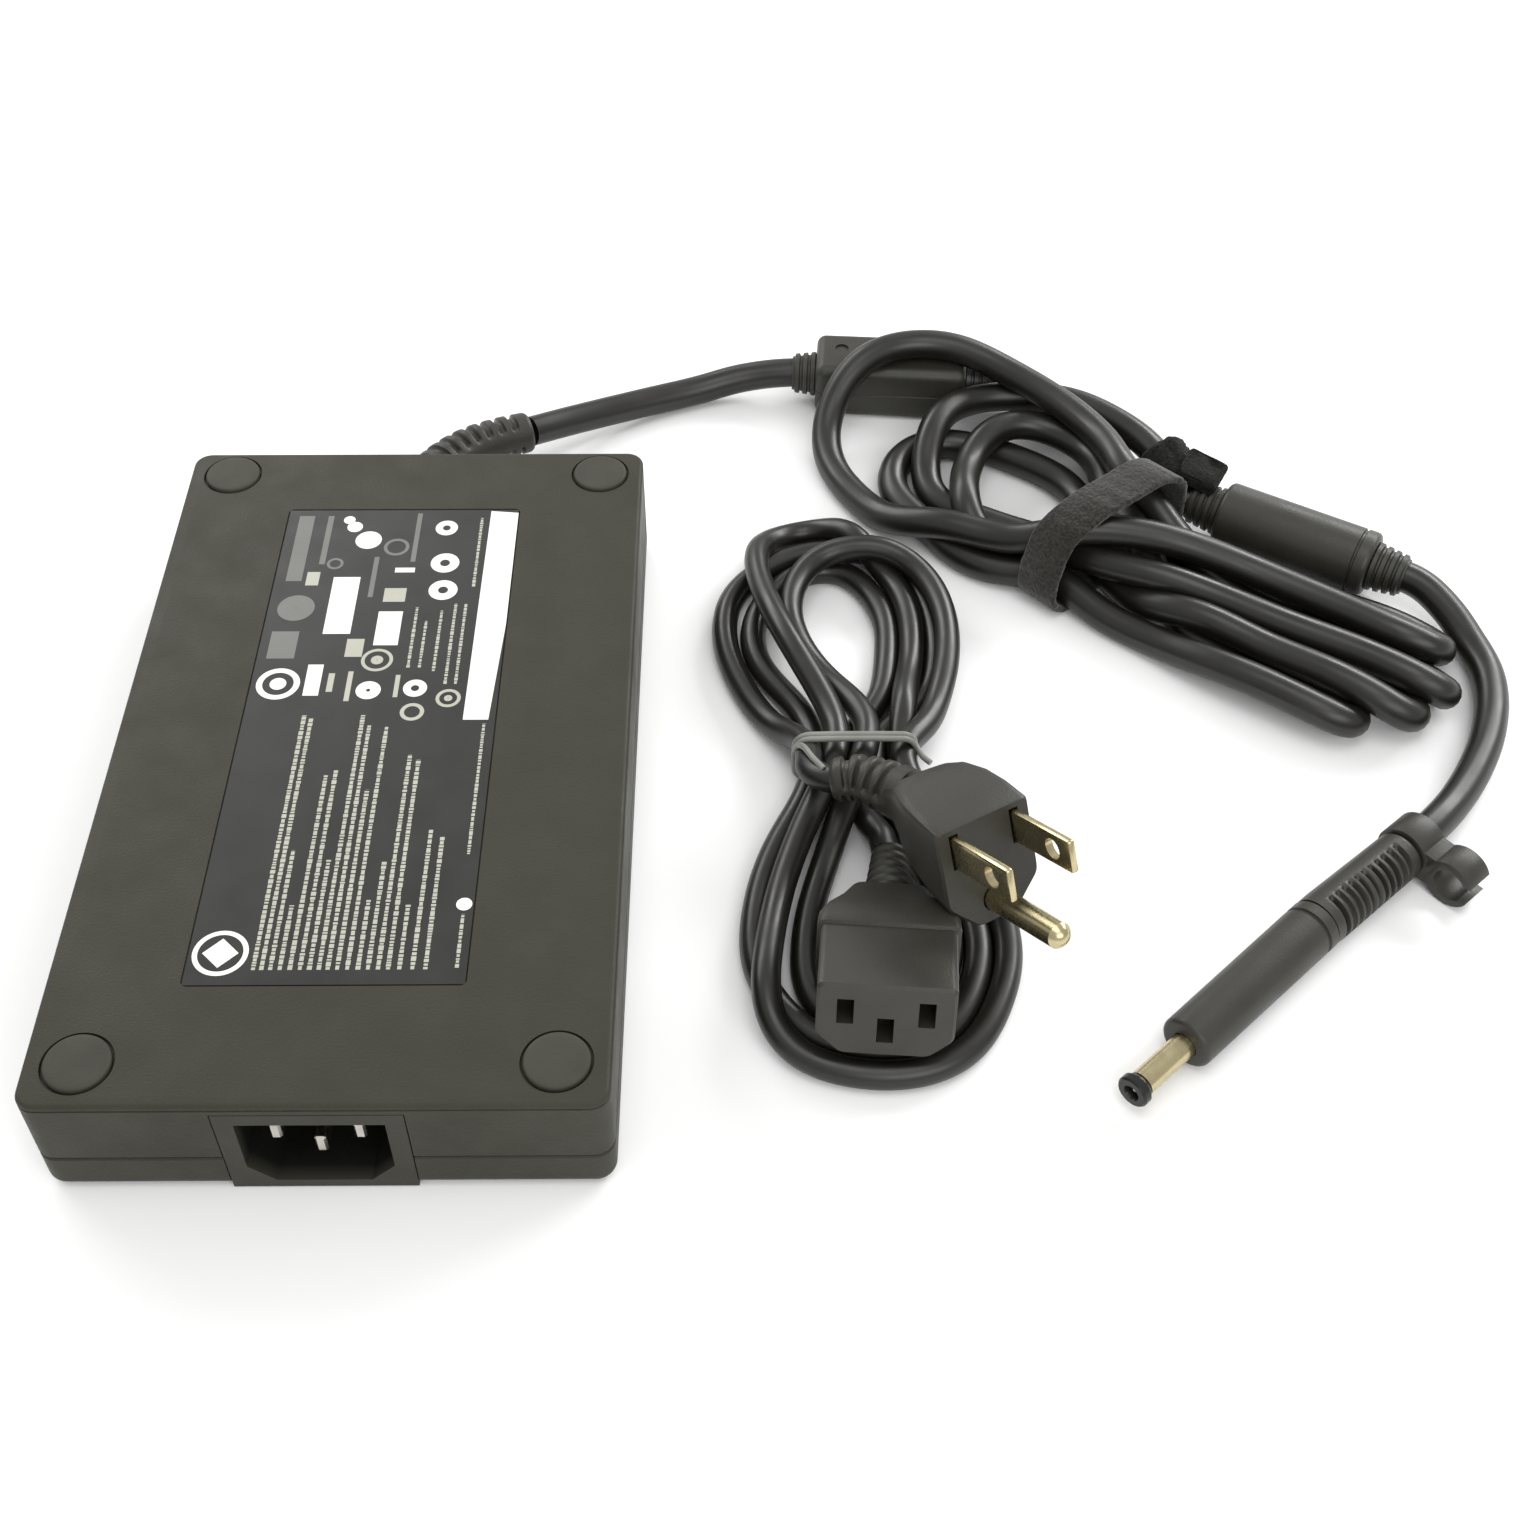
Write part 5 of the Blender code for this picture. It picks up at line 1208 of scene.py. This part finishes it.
def inlet_plastic(name):
    """The inlet's plastic, with painted shade that grows darker from its front face into the cavity."""
    made, tree, shader = new_material(name)
    place = tree.nodes.new("ShaderNodeTexCoord")
    parts = tree.nodes.new("ShaderNodeSeparateXYZ")
    link = tree.links.new
    link(place.outputs["Object"], parts.inputs["Vector"])
    front = -CASE.y / 2
    # Painted shade: the plastic darkens from the front face into the cavity
    painted_shade = remap(tree, parts.outputs["Y"], 0, 1, front, front + CAVITY_SHADE_DEPTH)
    link(ramp(tree, painted_shade, INLET_COLOUR, CAVITY_SHADE_COLOUR, 0, 1), shader.inputs["Base Color"])
    link(remap(tree, noise(tree, 120, 5), 0.50, 0.62), shader.inputs["Roughness"])
    bump(tree, shader, noise(tree, 2600, 2), 0.00005)
    shader.inputs["Specular IOR Level"].default_value = 0.3
    return made


def metal(name, colour, rough, stretch=(1, 1, 1)):
    """Stamped or turned metal with faint drawing lines and slight tarnish."""
    made, tree, shader = new_material(name)
    shader.inputs["Metallic"].default_value = 1.0
    link = tree.links.new
    stain = noise(tree, 260, 5)
    link(ramp(tree, stain, shaded(colour, 0.86), colour, 0.30, 0.60), shader.inputs["Base Color"])
    lines = noise(tree, 900, 3, stretch)
    link(remap(tree, lines, rough - 0.02, rough + 0.03), shader.inputs["Roughness"])
    bump(tree, shader, lines, 0.0000006)
    return made


def fabric(name, colour, sheen):
    """Napped loop fabric: short matted fibres, with worn paler tips."""
    made, tree, shader = new_material(name)
    link = tree.links.new
    tufts = noise(tree, 1500, 6)
    link(ramp(tree, tufts, shaded(colour, 0.45), shaded(colour, 1.9), 0.36, 0.68),
         shader.inputs["Base Color"])
    shader.inputs["Roughness"].default_value = 0.95
    shader.inputs["Sheen Weight"].default_value = sheen
    shader.inputs["Specular IOR Level"].default_value = 0.2
    shader.inputs["Sheen Roughness"].default_value = 0.6
    coarse = bump(tree, shader, noise(tree, 700, 3), 0.00035)
    bump(tree, shader, tufts, 0.00022, coarse)
    return made


# Each finish: what makes it, its colour, and the values that follow there
FINISHES = {
    "case_plastic": (plastic, CASE_COLOUR, 0.52, 2200, 0.00008, 0.08, 0.25),
    "foot_rubber": (plastic, FOOT_COLOUR, 0.62, 1800, 0.00005),
    "label_film": (plastic, LABEL_COLOUR, 0.38, 500, 0.00001),
    "inlet_plastic": (inlet_plastic,),
    "cord_jacket": (plastic, CORD_COLOUR, 0.36, 1400, 0.00001, 0.12, 0.55),
    "moulded_rubber": (plastic, MOULDED_COLOUR, 0.44, 2200, 0.00004, 0.10, 0.45),
    "tip_plastic": (plastic, TIP_COLOUR, 0.32, 900, 0.00001),
    "tie_wire": (plastic, TIE_COLOUR, 0.34, 1200, 0.00003),
    "strap_fabric": (fabric, STRAP_COLOUR, 0.2),
    "strap_hooks": (fabric, HOOK_COLOUR, 0.05),
    "pin_metal": (metal, PIN_COLOUR, 0.24, (1, 0.1, 1)),
    "brass": (metal, BRASS_COLOUR, 0.26, (1, 1, 0.15)),
    "copper": (metal, (0.72, 0.33, 0.18), 0.34),
    "aluminium": (metal, (0.70, 0.71, 0.72), 0.38, (0.1, 1, 1)),
    "board": (plastic, (0.05, 0.16, 0.07), 0.42, 700, 0.00002),
    "capacitor_sleeve": (plastic, (0.03, 0.04, 0.09), 0.36, 900, 0.00001),
    "ferrite": (plastic, (0.06, 0.06, 0.065), 0.60, 1800, 0.00006),
    "winding_tape": (plastic, (0.72, 0.55, 0.12), 0.42, 800, 0.00002),
    "film_case": (plastic, (0.65, 0.52, 0.16), 0.40, 1200, 0.00002),
    "chip_epoxy": (plastic, (0.03, 0.03, 0.03), 0.48, 2200, 0.00003),
    "insulation": (plastic, (0.10, 0.10, 0.10), 0.52, 1500, 0.00003),
    "print_white": (plastic, PRINT_COLOUR, 0.45, 500, 0.000005, 0.04),
    "print_grey": (plastic, PANEL_PRINT_COLOUR, 0.45, 500, 0.000005, 0.04),
    "print_pale": (plastic, TEXT_PRINT_COLOUR, 0.45, 500, 0.000005, 0.04),
}


def material(name):
    """The named finish, made the first time that it is asked for."""
    make, *values = FINISHES[name]
    return bpy.data.materials.get(f"{name}_look") or make(name, *values)


def finish_cad_nodes(nodes):
    """Gives every CAD node that stays in view the detailed version of its finish."""
    for node in nodes.values():
        for place in node.material_slots:
            name = place.material.name.split(".")[0]
            if name in FINISHES:
                place.material = material(name)


# Room

def add_floor():
    bm = bmesh.new()
    bmesh.ops.create_grid(bm, x_segments=2, y_segments=2, size=3)
    mesh = bpy.data.meshes.new("floor")
    bm.to_mesh(mesh)
    bm.free()
    floor = bpy.data.objects.new("floor", mesh)
    bpy.context.scene.collection.objects.link(floor)
    made, tree, shader = new_material("paper")
    tree.links.new(
        ramp(tree, noise(tree, 6, 2), (0.93, 0.93, 0.93), (0.96, 0.96, 0.96)),
        shader.inputs["Base Color"],
    )
    shader.inputs["Roughness"].default_value = 0.85
    mesh.materials.append(made)


def add_light(name, place, aim, size, power):
    data = bpy.data.lights.new(name, "AREA")
    data.shape = "RECTANGLE"
    data.size, data.size_y = size
    data.energy = power
    light = bpy.data.objects.new(name, data)
    light.location = place
    light.rotation_euler = (Vector(aim) - Vector(place)).to_track_quat("-Z", "Y").to_euler()
    bpy.context.scene.collection.objects.link(light)


def add_lights():
    """A bright soft room, two long panels that glint along the cords, and two broad ones."""
    world = bpy.data.worlds.new("studio")
    world.use_nodes = True
    background = world.node_tree.nodes["Background"]
    background.inputs["Color"].default_value = (1.0, 1.0, 0.99, 1)
    background.inputs["Strength"].default_value = WORLD_LIGHT
    bpy.context.scene.world = world
    middle = (0.07, 0.03, 0)
    add_light("strip_left", (-0.55, 0.80, 0.62), middle, (0.90, 0.22), 5)
    add_light("strip_right", (0.80, 0.78, 0.60), middle, (0.90, 0.22), 10)
    add_light("panel_above", (0.10, -0.25, 1.30), middle, (0.7, 0.7), 4)
    add_light("panel_front", (0.45, -0.95, 0.80), middle, (1.0, 0.6), 6)


def add_camera():
    data = bpy.data.cameras.new("camera")
    data.lens = CAMERA_LENS
    data.sensor_width = 36
    camera = bpy.data.objects.new("camera", data)
    camera.location = CAMERA_PLACE
    turn = Matrix.Rotation(CAMERA_AZIMUTH, 3, "Z")
    turn @= Matrix.Rotation(pi / 2 - CAMERA_ELEVATION, 3, "X")
    turn @= Matrix.Rotation(CAMERA_ROLL, 3, "Z")
    camera.rotation_euler = turn.to_euler()
    bpy.context.scene.collection.objects.link(camera)
    bpy.context.scene.camera = camera


# The whole object

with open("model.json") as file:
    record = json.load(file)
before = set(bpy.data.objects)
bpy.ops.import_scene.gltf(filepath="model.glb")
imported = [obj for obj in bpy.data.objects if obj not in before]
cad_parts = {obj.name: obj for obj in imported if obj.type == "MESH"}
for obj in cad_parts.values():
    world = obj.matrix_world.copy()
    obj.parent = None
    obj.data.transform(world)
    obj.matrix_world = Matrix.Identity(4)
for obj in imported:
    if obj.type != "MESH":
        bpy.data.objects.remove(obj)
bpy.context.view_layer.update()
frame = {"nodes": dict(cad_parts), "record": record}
bodies = frame["record"]["behaviour"]["bodies"]
body_of = {node: body for body, nodes in bodies.items() for node in nodes}
add_camera()
finish_cad_nodes(frame["nodes"])

dc_cord, dc_length = lay_dc_cord()
mains_cord, mains_length = lay_mains_cord()

add_lower_case()
add_upper_case()
add_feet()
add_label_print()
add_outlet_boot()
block_ferrite = add_block_ferrite()
sleeve_ferrite = add_sleeve_ferrite()
strap = add_strap()
strap_head = add_strap_head()
plug = add_dc_plug()
clip = add_clip()
connector = add_connector()
wall_plug = add_wall_plug()
tie = add_tie()

add_floor()
add_lights()
bpy.context.scene.view_settings.view_transform = "Standard"
